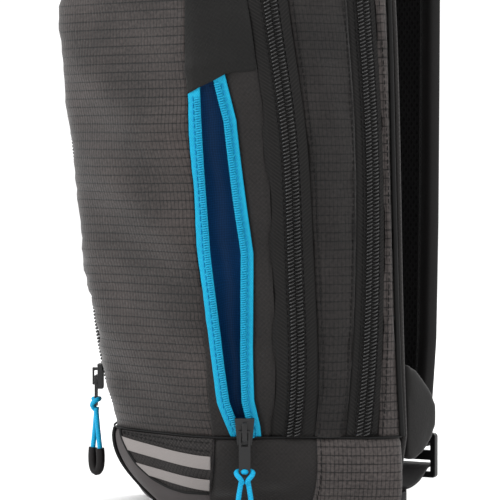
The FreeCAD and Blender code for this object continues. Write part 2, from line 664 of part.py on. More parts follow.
def back_pad():
    """One of the two mesh-covered pads of the back."""
    pad = Part.makeBox(58, BACK_PAD_THICK, 300, Vector(12, pad_back, 70))
    pad = pad.makeFillet(16, [e for e in pad.Edges if abs(e.tangentAt(e.FirstParameter).y) > 0.9])
    rear_edges = [e for e in pad.Edges if abs(e.CenterOfMass.y - pad_back - BACK_PAD_THICK) < 0.1]
    return pad.makeFillet(4, rear_edges)


save(back_pad(), "back_pad_right")
save(mirrored(back_pad()), "back_pad_left")
save(top_handle(), "top_handle")
save(hose_port(), "hose_port")
save(shoulder_strap(), "shoulder_strap_right")
save(mirrored(shoulder_strap()), "shoulder_strap_left")
save(adjuster_webbing(), "adjuster_webbing_right")
save(mirrored(adjuster_webbing()), "adjuster_webbing_left")
save(side_wing(), "side_wing_right")
save(mirrored(side_wing()), "side_wing_left")
save(ladder_lock(), "ladder_lock_right")
save(mirrored(ladder_lock()), "ladder_lock_left")
save(Part.Compound([strap_tab(), mirrored(strap_tab())]), "strap_tabs")

belt_depth = 9.0
belt_centre = Vector(0, BUCKLE_Y, BUCKLE_Z)
save(belt_webbing(6.0, webbing_offset(belt_depth)), "belt_webbing_right")
save(mirrored(belt_webbing(26.0, 0)), "belt_webbing_left")
save(buckle_female(22, 26, belt_depth, belt_centre, BELT_WIDTH + 1), "belt_buckle_socket")
save(buckle_male(22, 34, belt_depth, belt_centre, BELT_WIDTH + 1), "belt_buckle_prongs")

save(Part.Compound([chest_rail(), mirrored(chest_rail())]), "chest_rails")
save(Part.Compound([chest_clip(), mirrored(chest_clip())]), "chest_clips")
chest_centre = Vector(0, CHEST_Y, CHEST_Z)
save(chest_webbing(6.0, CHEST_Y + webbing_offset(CHEST_DEPTH)), "chest_webbing_right")
save(mirrored(chest_webbing(22.0, CHEST_Y)), "chest_webbing_left")
save(buckle_female(20, 22, CHEST_DEPTH, chest_centre, BELT_WIDTH + 1), "chest_buckle_socket")
save(buckle_male(20, 28, CHEST_DEPTH, chest_centre, BELT_WIDTH + 1), "chest_buckle_prongs")

save(reservoir_sleeve(), "reservoir_sleeve")
save(reservoir(), "reservoir")
save(filler_ring(), "filler_ring")
save(screw_cap(), "screw_cap")
save(outlet_fitting(), "outlet_fitting")
save(outlet_button(), "outlet_button")


def zip_place(edge_a, edge_b, t, side, lift):
    """A place on a zip and the level direction that its slider faces; side is -1 on the pack's left half."""
    place = (edge_a(t) + edge_b(t)) * 0.5
    facing = outward(edge_a, edge_b, t)
    facing = Vector(facing.x * side, facing.y, 0).normalize()
    return Vector(place.x * side, place.y, place.z) + facing * lift, facing


FRONT_SLIDER_T, FRONT_SLIDER_END_T = 0.55, 2.0
MAIN_SLIDER_T, MAIN_SLIDER_END_T = 5.75, 4.3
POCKET_SLIDER_T, POCKET_SLIDER_END_T = 0.1, 3.2
place, facing = zip_place(front_zip_outer, front_zip_inner, FRONT_SLIDER_T, -1, 1.9)
zip_pull("front", place, facing, -12.8, 34, 0)
place, facing = zip_place(main_zip_outer, main_zip_inner, MAIN_SLIDER_T, 1, 1.6)
zip_pull("main", place, facing, -12.8, 34, 13)
place, facing = zip_place(pocket_edge(1, 0), pocket_edge(1, 1), POCKET_SLIDER_T, 1, 1.6)
zip_pull("pocket", place, facing, -20.0, 19, 0)
PULLED_ZIPS = {"front": (front_zip_outer, front_zip_inner, FRONT_SLIDER_T, FRONT_SLIDER_END_T, -1),
               "main": (main_zip_outer, main_zip_inner, MAIN_SLIDER_T, MAIN_SLIDER_END_T, 1),
               "pocket": (pocket_edge(1, 0), pocket_edge(1, 1), POCKET_SLIDER_T, POCKET_SLIDER_END_T, 1)}
for name, (edge_a, edge_b, start, end, side) in PULLED_ZIPS.items():
    travel = zip_place(edge_a, edge_b, end, side, 0)[0] - zip_place(edge_a, edge_b, start, side, 0)[0]
    print(f"{name} slider travel {travel.Length:.1f} along {[round(c / travel.Length, 4) for c in travel]}")
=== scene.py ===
# %% [markdown]
# # A slim hydration pack, sewn piece by piece
# The real pack is cut from cloth, sewn along its seams and closed with coil zips. The CAD frame already
# holds its size, its joints and its hardware. This lesson builds what you see: every cloth panel, tape,
# tooth, stitch, strap and cord, as surfaces worked out with numpy. Most ride on a body of the frame; pieces
# that cross a joint are baked in place.

# %% Load the frame and keep its box
import math

import bmesh
import bpy
import numpy as np

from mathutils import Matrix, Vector


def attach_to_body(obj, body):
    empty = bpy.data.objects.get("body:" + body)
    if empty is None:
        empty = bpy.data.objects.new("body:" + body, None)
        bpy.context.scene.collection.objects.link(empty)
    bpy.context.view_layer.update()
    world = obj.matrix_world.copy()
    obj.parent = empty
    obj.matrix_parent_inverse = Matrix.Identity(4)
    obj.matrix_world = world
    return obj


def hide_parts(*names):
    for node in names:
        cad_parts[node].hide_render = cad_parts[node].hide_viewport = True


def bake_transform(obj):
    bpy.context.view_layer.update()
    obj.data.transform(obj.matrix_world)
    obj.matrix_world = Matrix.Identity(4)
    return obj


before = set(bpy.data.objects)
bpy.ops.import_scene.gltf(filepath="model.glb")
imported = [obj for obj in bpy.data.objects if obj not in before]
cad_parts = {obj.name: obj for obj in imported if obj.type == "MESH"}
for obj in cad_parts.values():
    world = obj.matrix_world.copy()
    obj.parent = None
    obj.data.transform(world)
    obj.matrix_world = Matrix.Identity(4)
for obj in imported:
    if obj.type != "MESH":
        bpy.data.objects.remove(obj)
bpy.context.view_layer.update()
MM = 0.001

# %% [markdown]
# ## Camera and light
# A close view of the lower front corner shows the pocket, the zips and the base. A long lens keeps the
# seams straight. The room is plain and pale, with one broad lamp at the front left, a weaker one on the
# right, a weak one above and one behind for the back view.

# %% Camera and lamps
LOOK_AT = np.array([0.0184, 0.0184, 0.1354])
AZIMUTH, ELEVATION = math.radians(45), math.radians(2.2)
CAMERA_DISTANCE = 1.3
LENS = 187.0


def direction(azimuth, elevation):
    """The unit vector from the pack towards a place at this azimuth and height angle."""
    level = math.cos(elevation)
    return np.array([math.sin(azimuth) * level, -math.cos(azimuth) * level, math.sin(elevation)])


def aimed(obj, place, target):
    """Sets a camera or lamp at a place, looking at a target: its own -Z points there."""
    look = Vector(target) - Vector(place)
    obj.location = place
    obj.rotation_mode = "QUATERNION"
    obj.rotation_quaternion = look.to_track_quat("-Z", "Y")
    bpy.context.scene.collection.objects.link(obj)


camera = bpy.data.objects.new("camera", bpy.data.cameras.new("camera"))
camera.data.lens = LENS
aimed(camera, LOOK_AT + CAMERA_DISTANCE * direction(AZIMUTH, ELEVATION), LOOK_AT)
bpy.context.scene.camera = camera
bpy.context.scene.view_settings.view_transform = "Standard"


def lamp(name, azimuth, elevation, distance, size, power):
    """A square area lamp of this size, aimed at the middle of the pack."""
    data = bpy.data.lights.new(name, "AREA")
    data.size = size
    data.energy = power
    target = np.array([0, 0.02, 0.2])
    place = target + distance * direction(math.radians(azimuth), math.radians(elevation))
    aimed(bpy.data.objects.new(name, data), place, target)


lamp("left_lamp", -12, 24, 1.6, 0.9, 14)
lamp("right_lamp", 110, 30, 1.7, 1.0, 7)
lamp("top_lamp", 30, 75, 1.5, 0.9, 4)
lamp("back_lamp", 200, 35, 1.8, 1.2, 10)

world = bpy.data.worlds.new("studio")
bpy.context.scene.world = world
world.use_nodes = True
world.node_tree.nodes["Background"].inputs["Color"].default_value = (1.0, 1.0, 1.0, 1.0)
world.node_tree.nodes["Background"].inputs["Strength"].default_value = 1.12
print("camera at", [round(c, 3) for c in camera.location])

# %% [markdown]
# ## Colours and the weave of a cloth
# Every finish here is woven, knitted or moulded at a real scale. Cloth is a height field: lines of thread
# in one or two directions, plus a little unevenness. The same height tints the colour and drives the bump,
# so a thread that stands up is also painted lighter, and a low thread or a mesh hole is painted darker:
# painted highlight and painted shade in the weave, on top of the grain's random tone. One function makes all
# of them, since only the directions, the pitch and the two colours differ.

# %% Node helpers
def colour(red, green, blue):
    """A screen colour from 0 to 255 as the linear colour that a shader works with."""
    c = np.array([red, green, blue]) / 255
    linear = np.where(c <= 0.04045, c / 12.92, ((c + 0.055) / 1.055) ** 2.4)
    return (*map(float, linear), 1.0)


def add(tree, kind, inputs=None, **settings):
    """A new shader node with its settings, and with its inputs set to values or linked to sockets."""
    node = tree.nodes.new("ShaderNode" + kind)
    for key, value in settings.items():
        setattr(node, key, value)
    for key, value in (inputs or {}).items():
        if isinstance(value, bpy.types.NodeSocket):
            tree.links.new(value, node.inputs[key])
        else:
            node.inputs[key].default_value = value
    return node


def calc(tree, operation, a, b=0.0):
    """One sum on sockets or numbers; gives the socket of its result."""
    return add(tree, "Math", {0: a, 1: b}, operation=operation).outputs[0]


def threads(tree, place, angle, pitch, width):
    """Lines across a surface: the distance to the nearest line, as a share of the pitch, made into 0 to 1."""
    turned = (math.cos(math.radians(angle)) / pitch, math.sin(math.radians(angle)) / pitch, 0)
    along = add(tree, "VectorMath", {0: place, 1: turned}, operation="DOT_PRODUCT").outputs["Value"]
    away = calc(tree, "ABSOLUTE", calc(tree, "SUBTRACT", calc(tree, "FRACT", along), 0.5))
    soft = add(tree, "MapRange", {"Value": away, "From Min": 0.5 - width, "From Max": 0.5},
               interpolation_type="SMOOTHSTEP")
    return soft.outputs["Result"]


def holes(tree, place, pitch):
    """Staggered round holes: the distance to the nearest centre of a square net that is turned 45 degrees."""
    net = add(tree, "Mapping", {"Vector": place, "Rotation": (0, 0, math.radians(45)),
                                "Scale": (1 / pitch, 1 / pitch, 1 / pitch)})
    cells = add(tree, "TexVoronoi", {"Vector": net.outputs[0], "Scale": 1.0, "Randomness": 0.0},
                voronoi_dimensions="2D")
    soft = add(tree, "MapRange", {"Value": cells.outputs["Distance"], "From Min": 0.22, "From Max": 0.38},
               interpolation_type="SMOOTHSTEP")
    return soft.outputs["Result"]


print("node helpers ready")

# %% [markdown]
# ## One finish from a height field
# A finish could be painted by hand, but a formula keeps its scale on every piece: a noise gives the
# grain, lines of thread are added to it, and the sum drives both the tint and the bump.

# %% One function for every finish
FINISHES = {}


def finish(name, slot, dark, light, rough, lines=(), mesh_pitch=None, grain=0.3, grain_scale=900.0,
           painted_sheen=0.35, bump=0.3, gloss=0.15, place="UV", **shader):
    """A finish: height = the lines' strengths + grain, tinted from dark to light by it, with painted sheen
    patches from a broad noise.
    """
    material = bpy.data.materials.new(name)
    material.use_nodes = True
    tree = material.node_tree
    surface = tree.nodes["Principled BSDF"]
    where = add(tree, "TexCoord").outputs[place]
    if place == "Object":      # patterns are drawn on x and height
        where = add(tree, "Mapping", {"Vector": where, "Rotation": (-math.pi / 2, 0, 0)}).outputs[0]
    noise = add(tree, "TexNoise", {"Vector": where, "Scale": grain_scale, "Detail": 3.0})
    height = calc(tree, "MULTIPLY", noise.outputs["Fac"], grain)
    for angle, pitch, width, strength in lines:
        part = calc(tree, "MULTIPLY", threads(tree, where, angle, pitch, width), strength)
        height = calc(tree, "ADD", height, part)
    if mesh_pitch:
        height = calc(tree, "ADD", height, holes(tree, where, mesh_pitch))
    # Painted sheen: a broad noise lightens and darkens the colour in large patches, standing in for the
    # cloth's sheen.
    sheen_noise = add(tree, "TexNoise", {"Vector": where, "Scale": 22.0, "Detail": 2.0}).outputs["Fac"]
    # The colour follows the height: painted shade in low threads and mesh holes, painted highlight on raised
    # threads, and random tone from the grain.
    tone_shade_and_sheen = calc(tree, "ADD", height, calc(tree, "MULTIPLY", calc(tree, "SUBTRACT", sheen_noise, 0.5), painted_sheen))
    tints = {"Fac": tone_shade_and_sheen, "Color1": colour(*dark), "Color2": colour(*light)}
    mix = add(tree, "MixRGB", tints, use_clamp=False)
    tree.links.new(mix.outputs[0], surface.inputs["Base Color"])
    relief = add(tree, "Bump", {"Height": height, "Strength": bump, "Distance": 0.0004})
    tree.links.new(relief.outputs[0], surface.inputs["Normal"])
    surface.inputs["Roughness"].default_value = rough
    surface.inputs["Specular IOR Level"].default_value = gloss
    for key, value in shader.items():
        surface.inputs[key.replace("_", " ")].default_value = value
    FINISHES[name] = (material, slot)
    return name


print("one finish function ready")

# %% [markdown]
# ## The finishes of this pack
# Ripstop is a thin cloth with stronger threads at every few millimetres, so it shows a small oblong cell.
# The black panels are a tight weave with fine diagonal lines. Zip tape is a fine twill, webbing is ribbed
# across, and the strap's face is a spacer knit with staggered holes. Moulded parts only have a fine grain.

# %% Cloth, tape, webbing, moulded and film finishes
# The ripstop and the black cloths get the strongest painted sheen patches.
RIPSTOP = finish("ripstop", "ripstop_grey", (13, 12, 12), (69, 62, 60), 0.5,
                 [(90, 0.0042, 0.13, -0.5), (0, 0.0021, 0.18, -0.35)], grain=0.9, grain_scale=620, bump=0.7,
                 painted_sheen=0.9, Sheen_Weight=0.12)
DARK_RIPSTOP = finish("dark_ripstop", "black_fabric", (8, 8, 8), (46, 42, 41), 0.6,
                      [(90, 0.0042, 0.13, -0.35), (0, 0.0021, 0.18, -0.25)], grain=0.85, grain_scale=620,
                      bump=0.6, painted_sheen=0.8, Sheen_Weight=0.08)
BASE_RIPSTOP = finish("base_ripstop", "ripstop_grey", (20, 19, 19), (66, 62, 61), 0.65,
                      [(45, 0.0016, 0.2, -0.3), (-45, 0.0016, 0.2, -0.3)], grain=0.7, bump=0.5)
PLAIN_BLACK = finish("plain_black_cloth", "black_fabric", (8, 8, 8), (42, 39, 38), 0.62,
                     [(45, 0.0016, 0.25, 0.16), (-45, 0.0016, 0.25, 0.16)], grain=0.75, grain_scale=750,
                     bump=0.6, painted_sheen=0.8, Sheen_Weight=0.08)
DEEP_BLACK = finish("deep_black_cloth", "black_fabric", (5, 5, 5), (27, 26, 25), 0.6,
                    [(45, 0.0016, 0.25, 0.16), (-45, 0.0016, 0.25, 0.16)], grain=0.75, grain_scale=750,
                    bump=0.6, painted_sheen=0.8, Sheen_Weight=0.06)
CHARCOAL = finish("charcoal_cloth", "black_fabric", (22, 20, 20), (88, 81, 79), 0.6,
                  [(90, 0.0042, 0.13, -0.4), (0, 0.0021, 0.18, -0.3)], grain=0.85, grain_scale=620, bump=0.6,
                  painted_sheen=0.7, Sheen_Weight=0.12)
COATED_GREY = finish("coated_grey_cloth", "base_grey", (58, 54, 54), (80, 75, 75), 0.5, grain=0.5,
                     grain_scale=1500, bump=0.12)
PIPING = finish("piping", "black_fabric", (9, 9, 9), (22, 21, 21), 0.55, grain=0.5, place="Object")
BLACK_TAPE = finish("black_zip_tape", "zip_black", (10, 10, 10), (36, 34, 33), 0.7,
                    [(52, 0.0015, 0.3, 0.5)], grain=0.35)
BLACK_COIL = finish("black_coil", "zip_black", (9, 9, 9), (34, 32, 32), 0.25, grain=0.4, bump=0.1,
                    gloss=0.5, place="Object")
BLUE_TAPE = finish("blue_zip_tape", "zip_blue", (3, 118, 154), (26, 168, 202), 0.6,
                   [(40, 0.0009, 0.3, 0.25), (-40, 0.0009, 0.3, 0.25)], grain=0.6)
BLUE_COIL = finish("blue_coil", "zip_blue", (4, 130, 170), (46, 178, 212), 0.38, grain=0.6, bump=0.1,
                   place="Object")
BLUE_LINING = finish("blue_lining", "lining_blue", (0, 34, 66), (2, 62, 112), 0.6,
                     [(0, 0.0012, 0.3, 0.3), (90, 0.0012, 0.3, 0.3)], grain=0.4)
REFLECTIVE = finish("reflective_tape", "reflective_grey", (112, 107, 105), (146, 141, 139), 0.42,
                    [(90, 0.0007, 0.25, 0.15)], grain=0.6, grain_scale=2500, bump=0.15)
SPACER_MESH = finish("spacer_mesh", "mesh_black", (3, 3, 3), (24, 23, 24), 0.85, mesh_pitch=0.0033,
                     grain=0.2, bump=1.0, gloss=0.08)
WEBBING = finish("webbing", "webbing_black", (10, 9, 10), (36, 34, 35), 0.7,
                 [(90, 0.0013, 0.35, 0.5), (0, 0.0034, 0.1, -0.2)], grain=0.3, bump=0.7)
MOULDED = finish("moulded_black", "moulded_black", (7, 7, 8), (18, 17, 18), 0.4, grain=0.5,
                 grain_scale=1800, bump=0.1, gloss=0.4, place="Object")
BLUE_CORD = finish("blue_cord", "cord_blue", (4, 128, 172), (26, 172, 214), 0.5,
                   [(55, 0.0011, 0.3, 0.3), (-55, 0.0011, 0.3, 0.3)], grain=0.5, place="Object")
GRIP = finish("grip_tube", "grip_black", (18, 16, 16), (36, 33, 33), 0.45, grain=0.5, bump=0.08,
              place="Object")
BLACK_THREAD = finish("black_thread", "black_fabric", (12, 12, 12), (34, 33, 33), 0.6, grain=0.6,
                      place="Object")
BLUE_THREAD = finish("blue_thread", "zip_blue", (4, 112, 160), (30, 160, 210), 0.6, grain=0.6, place="Object")
FILM = finish("drinking_bag_film", "reservoir_film", (150, 190, 205), (215, 235, 242), 0.28, grain=0.4,
              grain_scale=120, bump=0.15, place="Object", Transmission_Weight=0.35)
CAP_BLUE = finish("cap_blue", "cap_blue", (10, 70, 130), (20, 98, 165), 0.4, grain=0.5, bump=0.06,
                  place="Object")
SPACER_SOFT = finish("spacer_mesh_pad", "mesh_black", (3, 3, 3), (26, 25, 26), 0.85, mesh_pitch=0.0033,
                     grain=0.2, bump=1.0, gloss=0.08, place="Object")
WING_CLOTH = finish("wing_cloth", "black_fabric", (8, 8, 8), (34, 32, 31), 0.7, grain=0.7,
                    grain_scale=1100, place="Object", Sheen_Weight=0.1)
BINDING = finish("edge_binding", "webbing_black", (8, 8, 8), (32, 30, 30), 0.62, grain=0.7,
                 grain_scale=1300, bump=0.2, place="Object")
INNER_CLOTH = finish("sleeve_cloth", "black_fabric", (30, 29, 30), (52, 50, 50), 0.7, grain=0.7,
                     grain_scale=1000, place="Object")
INNER_SHEET = finish("divider_cloth", "black_fabric", (28, 28, 30), (50, 50, 52), 0.7,
                     [(0, 0.0012, 0.3, 0.25), (90, 0.0012, 0.3, 0.25)], grain=0.5)
FLOOR_PAINT = finish("floor_paint", "base_grey", (249, 249, 249), (254, 254, 254), 0.9, grain=0.1,
                     grain_scale=2.0, bump=0.0, place="Object")
print(len(FINISHES), "finishes")

# %% [markdown]
# ## From numbers to a mesh
# A surface here is a grid of points worked out all at once. These helpers turn a grid into faces, give it
# a UV map measured in metres along the cloth, so that a weave has its real scale, make its faces point
# outwards, and hand it to the body it moves with. Cloth that crosses a joint is only baked in place.

# %% Mesh helpers
MIDDLE = np.array([0.0, 0.024, 0.2])


def unit(v):
    """Each vector divided by its own length."""
    return v / np.maximum(np.linalg.norm(v, axis=-1, keepdims=True), 1e-12)


def grid_faces(rows, columns, closed=False):
    """Four-cornered faces between neighbours of a grid; closed joins the last column to the first."""
    index = np.arange(rows * columns).reshape(rows, columns)
    if closed:
        index = np.concatenate([index, index[:, :1]], axis=1)
    corners = [index[:-1, :-1], index[:-1, 1:], index[1:, 1:], index[1:, :-1]]
    return np.stack([c.ravel() for c in corners], axis=1)


def run_lengths(points, axis):
    """The distance walked along one direction of a grid, starting at zero."""
    steps = np.linalg.norm(np.diff(points, axis=axis), axis=-1)
    start = np.zeros_like(np.take(steps, [0], axis=axis))
    return np.concatenate([start, np.cumsum(steps, axis=axis)], axis=axis)


def cloth_uv(points):
    """UV in metres: across from the middle column, and up from the first row."""
    across = run_lengths(points, 1)
    across = across - across[:, [points.shape[1] // 2]]
    up = run_lengths(points, 0)
    up = np.broadcast_to(up[:, [points.shape[1] // 2]], across.shape)
    return np.stack([across, up], axis=-1)


def attach(obj, holder):
    """Rides on a body where holder is its name; a holder that names two bodies and a stretch between them
    only bakes the object in place.
    """
    if isinstance(holder, str):
        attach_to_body(obj, holder)
    else:
        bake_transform(obj)


def dress(obj, finish_name, holder, replaces=()):
    """Gives a finished object its material and its body, or bakes it in place, and hides the CAD nodes it
    stands for.
    """
    material, slot = FINISHES[finish_name]
    obj.data.materials.clear()
    obj.data.materials.append(material)
    attach(obj, holder)
    if replaces:
        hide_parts(*replaces)
    return obj


def mesh_object(name, points, faces, uv=None, merge=0.0, away_from=None):
    """A smooth mesh. merge joins doubles at poles; away_from flips it to face away from that point, by the
    sign of face normal times face centre, weighted by area; without it, the normals are recalculated."""
    mesh = bpy.data.meshes.new(name)
    mesh.from_pydata(np.asarray(points).reshape(-1, 3).tolist(), [], np.asarray(faces).tolist())
    if uv is not None:
        layer = mesh.uv_layers.new(name="UVMap")
        corner = np.zeros(len(mesh.loops), np.int32)
        mesh.loops.foreach_get("vertex_index", corner)
        layer.data.foreach_set("uv", uv.reshape(-1, 2)[corner].astype(np.float32).ravel())
    work = bmesh.new()
    work.from_mesh(mesh)
    if merge:
        bmesh.ops.remove_doubles(work, verts=work.verts, dist=merge)
    if away_from is None:
        bmesh.ops.recalc_face_normals(work, faces=work.faces)
    else:
        centre = np.array([f.calc_center_median() for f in work.faces])
        normal = np.array([f.normal for f in work.faces])
        area = np.array([f.calc_area() for f in work.faces])
        if (area * np.einsum("ij,ij->i", normal, centre - away_from)).sum() < 0:
            bmesh.ops.reverse_faces(work, faces=work.faces)
    work.to_mesh(mesh)
    work.free()
    mesh.polygons.foreach_set("use_smooth", np.ones(len(mesh.polygons), bool))
    obj = bpy.data.objects.new(name, mesh)
    bpy.context.scene.collection.objects.link(obj)
    return obj


def thicken(obj, thickness):
    """Gives a sheet its thickness, inwards from its outer face."""
    wall = obj.modifiers.new("thickness", "SOLIDIFY")
    wall.thickness = thickness
    wall.offset = -1
    return obj


def panel(name, points, finish_name, holder, replaces=(), thickness=0.9 * MM, away_from=MIDDLE, merge=0.0):
    """A sewn cloth panel from a grid of points."""
    faces = grid_faces(*points.shape[:2])
    obj = mesh_object(name, points, faces, cloth_uv(points), merge, away_from)
    if thickness:
        thicken(obj, thickness)
    return dress(obj, finish_name, holder, replaces)


def copies_along(path, across, out, pitch, shape):
    """One small shape set along a path, a pitch apart: its own axes are along, across, out."""
    points, faces = shape
    length = run_lengths(path, 0)
    places = np.arange(pitch / 2, length[-1], pitch)

    def at_places(values):
        return np.stack([np.interp(places, length, values[:, k]) for k in range(3)], axis=1)

    side, up = unit(at_places(across)), unit(at_places(out))
    forward = np.cross(side, up)
    axes = np.stack([forward, side, up], axis=1)
    placed = at_places(path)[:, None, :] + np.einsum("vk,nkx->nvx", points, axes)
    shift = (np.arange(len(places)) * len(points))[:, None, None]
    return placed.reshape(-1, 3), (faces[None] + shift).reshape(-1, faces.shape[1])


def small_tube(line, radius, sides=6):
    """A short tube about a line of points: a ring at each point, drawn in at both ends, which stay open."""
    line = np.asarray(line, float)
    ahead = unit(np.gradient(line, axis=0))
    side = unit(np.cross(ahead, [0.0, 0.35, 1.0]) + 1e-9)
    other = np.cross(ahead, side)
    angle = np.linspace(0, 2 * np.pi, sides, endpoint=False)
    ring = np.cos(angle)[None, :, None] * side[:, None] + np.sin(angle)[None, :, None] * other[:, None]
    size = np.full(len(line), radius)
    size[[0, -1]] *= 0.35
    points = line[:, None] + ring * size[:, None, None]
    return points.reshape(-1, 3), grid_faces(len(line), sides, closed=True)


STITCH_LINE = np.array([[-1.25, 0, -0.15], [-0.8, 0, 0.2], [0.8, 0, 0.2], [1.25, 0, -0.15]]) * MM
STITCH = small_tube(STITCH_LINE, 0.28 * MM, 5)
STITCH_PITCH = 3.2 * MM


def stitches(name, path, across, out, thread, holder):
    """A row of lockstitches: short threads that lie on the cloth and dive in at both ends."""
    points, faces = copies_along(path, across, out, STITCH_PITCH, STITCH)
    return dress(mesh_object(name, points, faces), thread, holder)


def curve_object(name, points, diameter, resolution=6, order=4):
    """A round tube on one open, smooth NURBS line; its order is set once its control points are in."""
    data = bpy.data.curves.new(name, "CURVE")
    data.dimensions = "3D"
    data.bevel_depth = diameter / 2
    data.bevel_resolution = 3
    data.use_fill_caps = True
    data.resolution_u = resolution
    spline = data.splines.new("NURBS")
    spline.points.add(len(points) - 1)
    flat = np.concatenate([np.asarray(points, float), np.ones((len(points), 1))], axis=1)
    spline.points.foreach_set("co", flat.ravel())
    spline.order_u = order
    spline.use_endpoint_u = True
    obj = bpy.data.objects.new(name, data)
    bpy.context.scene.collection.objects.link(obj)
    return obj


def tube_mesh(name, points, diameter, resolution=3):
    """The same tube as a mesh, for piping, knots and other trim."""
    curve = curve_object(name + "_line", points, diameter, resolution)
    bpy.context.view_layer.update()
    mesh = bpy.data.meshes.new_from_object(curve.evaluated_get(bpy.context.evaluated_depsgraph_get()))
    bpy.data.objects.remove(curve)
    obj = bpy.data.objects.new(name, mesh)
    bpy.context.scene.collection.objects.link(obj)
    mesh.polygons.foreach_set("use_smooth", np.ones(len(mesh.polygons), bool))
    return obj


print("mesh helpers ready; one stitch has", len(STITCH[1]), "faces")

# %% [markdown]
# ## The pattern of the shell
# The pack's shape is drawn by four arches: the crown of the front, the front zip, the main zip and the back
# edge. Each arch is given by a few places on its right half, from the base seam to the top, and a smooth
# curve runs through them and on through their mirror images. Panels are the surfaces between two arches.

# %% Arches
CROWN_HALF = [(35.5, -23.5, 46), (38.0, -31, 84), (41, -40, 136), (44, -48.5, 190), (45.5, -52, 245),
              (44.5, -52, 300), (38, -48, 345), (23, -44, 373), (0, -42, 384)]
FRONT_ZIP_HALF = [(61.5, 4.5, 46), (71, -2, 88), (73.5, -7, 136), (76.5, -14, 192), (71.5, -20.5, 250),
                  (66.5, -24, 305), (57, -24, 356), (36, -22, 390), (0, -20.5, 402)]
MAIN_ZIP_HALF = [(87, 27, 46), (89.5, 29, 88), (90.2, 30.2, 136), (89.5, 29.8, 192), (85.5, 28.5, 250),
                 (79.5, 28, 308), (68.5, 29, 364), (44, 30, 404), (0, 30.5, 420)]
BACK_HALF = [(96, 45, 46), (94, 44, 88), (92.5, 43.5, 136), (91, 43, 192), (88.5, 43.5, 250),
             (83, 44, 310), (71.5, 44.5, 370), (46, 45, 414), (0, 45, 432)]
TOP, ARCH_END = 8.0, 16        # parameters of the top middle and of the arch's far end
FRONT_TAPE, MAIN_TAPE, POCKET_TAPE = 10.5 * MM, 8.0 * MM, 6.2 * MM
POCKET_END = 3.55                  # parameter where the pocket's mouth ends
POCKET_START_AT = [(0, 8.1), (0.5, 3.3), (1, 2.2), (2, 0.3), (4, 0.3)]
POCKET_MOUTH_AT = [(0, 2.6), (0.15, 4.0), (0.5, 5.7), (1.1, 8.6), (2, 14.3), (3.15, 10.5), (3.6, 5.0)]


def smooth_line(points):
    """A cubic curve through points, one step apart, whose slope and bend agree on both sides of each."""
    p = np.asarray(points, float)
    n = len(p)
    system = 4 * np.eye(n) + np.eye(n, k=1) + np.eye(n, k=-1)
    system[[0, -1]] = 0
    system[0, :2] = (1, -1)
    system[-1, -2:] = (-1, 1)
    known = np.zeros_like(p)
    known[1:-1] = 6 * (p[2:] - 2 * p[1:-1] + p[:-2])
    bend = np.linalg.solve(system, known.reshape(n, -1)).reshape(p.shape)

    def at(t):
        t = np.asarray(t, float)
        i = np.clip(np.floor(t).astype(int), 0, n - 2)
        b = (t - i).reshape(t.shape + (1,) * (p.ndim - 1))
        a = 1 - b
        return a * p[i] + b * p[i + 1] + ((a ** 3 - a) * bend[i] + (b ** 3 - b) * bend[i + 1]) / 6

    return at


def arch(half):
    """The smooth curve through a half arch, in millimetres, and its mirror image; gives metres."""
    right = np.array(half, float) * MM
    left = right[-2::-1] * [-1, 1, 1]
    return smooth_line(np.concatenate([right, left]))


crown, front_zip = arch(CROWN_HALF), arch(FRONT_ZIP_HALF)
main_zip, back_edge = arch(MAIN_ZIP_HALF), arch(BACK_HALF)


def beside(curve, target, distance):
    """A line beside an arch: its point, plus the unit step towards the other arch times a distance."""
    def at(t):
        start = curve(t)
        return start + unit(target(t) - start) * distance
    return at


front_zip_front = beside(front_zip, crown, FRONT_TAPE)
front_zip_rear = beside(front_zip, main_zip, FRONT_TAPE)
main_zip_front = beside(main_zip, front_zip, MAIN_TAPE)
main_zip_rear = beside(main_zip, back_edge, MAIN_TAPE)


def normals(points):
    """The outward unit normal at each grid point: the cross product of the two directions of the grid."""
    n = unit(np.cross(np.gradient(points, axis=1), np.gradient(points, axis=0)))
    away = np.einsum("ijk,ijk->ij", n, points - MIDDLE)
    return n * np.sign(away.sum())


def folds(u, v, seed, waves=7, shortest=0.012, longest=0.05):
    """Soft unevenness from -1 to 1: a few sine waves with seeded directions, lengths and starts."""
    random = np.random.default_rng(seed)
    angle = random.uniform(0, np.pi, waves)
    length = random.uniform(shortest, longest, waves)
    start = random.uniform(0, 2 * np.pi, waves)
    phase = (u[..., None] * np.cos(angle) + v[..., None] * np.sin(angle)) * 2 * np.pi / length + start
    return np.sin(phase).sum(-1) / waves * 1.6


def tuck(points, width=1.6 * MM, depth=1.1 * MM, sides=(True, True)):
    """Turns a panel's long edges in at their seams: depth times a bell of the distance to the edge."""
    across = run_lengths(points, 1)
    sink = np.zeros(points.shape[:2])
    if sides[0]:
        sink += np.exp(-(across / width) ** 2)
    if sides[1]:
        sink += np.exp(-((across[:, -1:] - across) / width) ** 2)
    return points - normals(points) * (depth * sink)[..., None]


def ruled(edge_a, edge_b, start, end, rows, columns, puff=0.0, uneven=0.0, seed=0):
    """The surface between two lines, pushed out by puff times a half sine across, plus soft folds."""
    t = np.linspace(start, end, rows)
    s = np.linspace(0, 1, columns)
    points = edge_a(t)[:, None] * (1 - s)[None, :, None] + edge_b(t)[:, None] * s[None, :, None]
    soft = folds(run_lengths(points, 1), run_lengths(points, 0), seed)
    lift = puff * np.sin(np.pi * s)[None] + uneven * soft
    fade = np.sin(np.pi * np.clip(s, 0.0, 1.0)) ** 0.5
    return points + normals(points) * (lift * fade[None])[..., None]


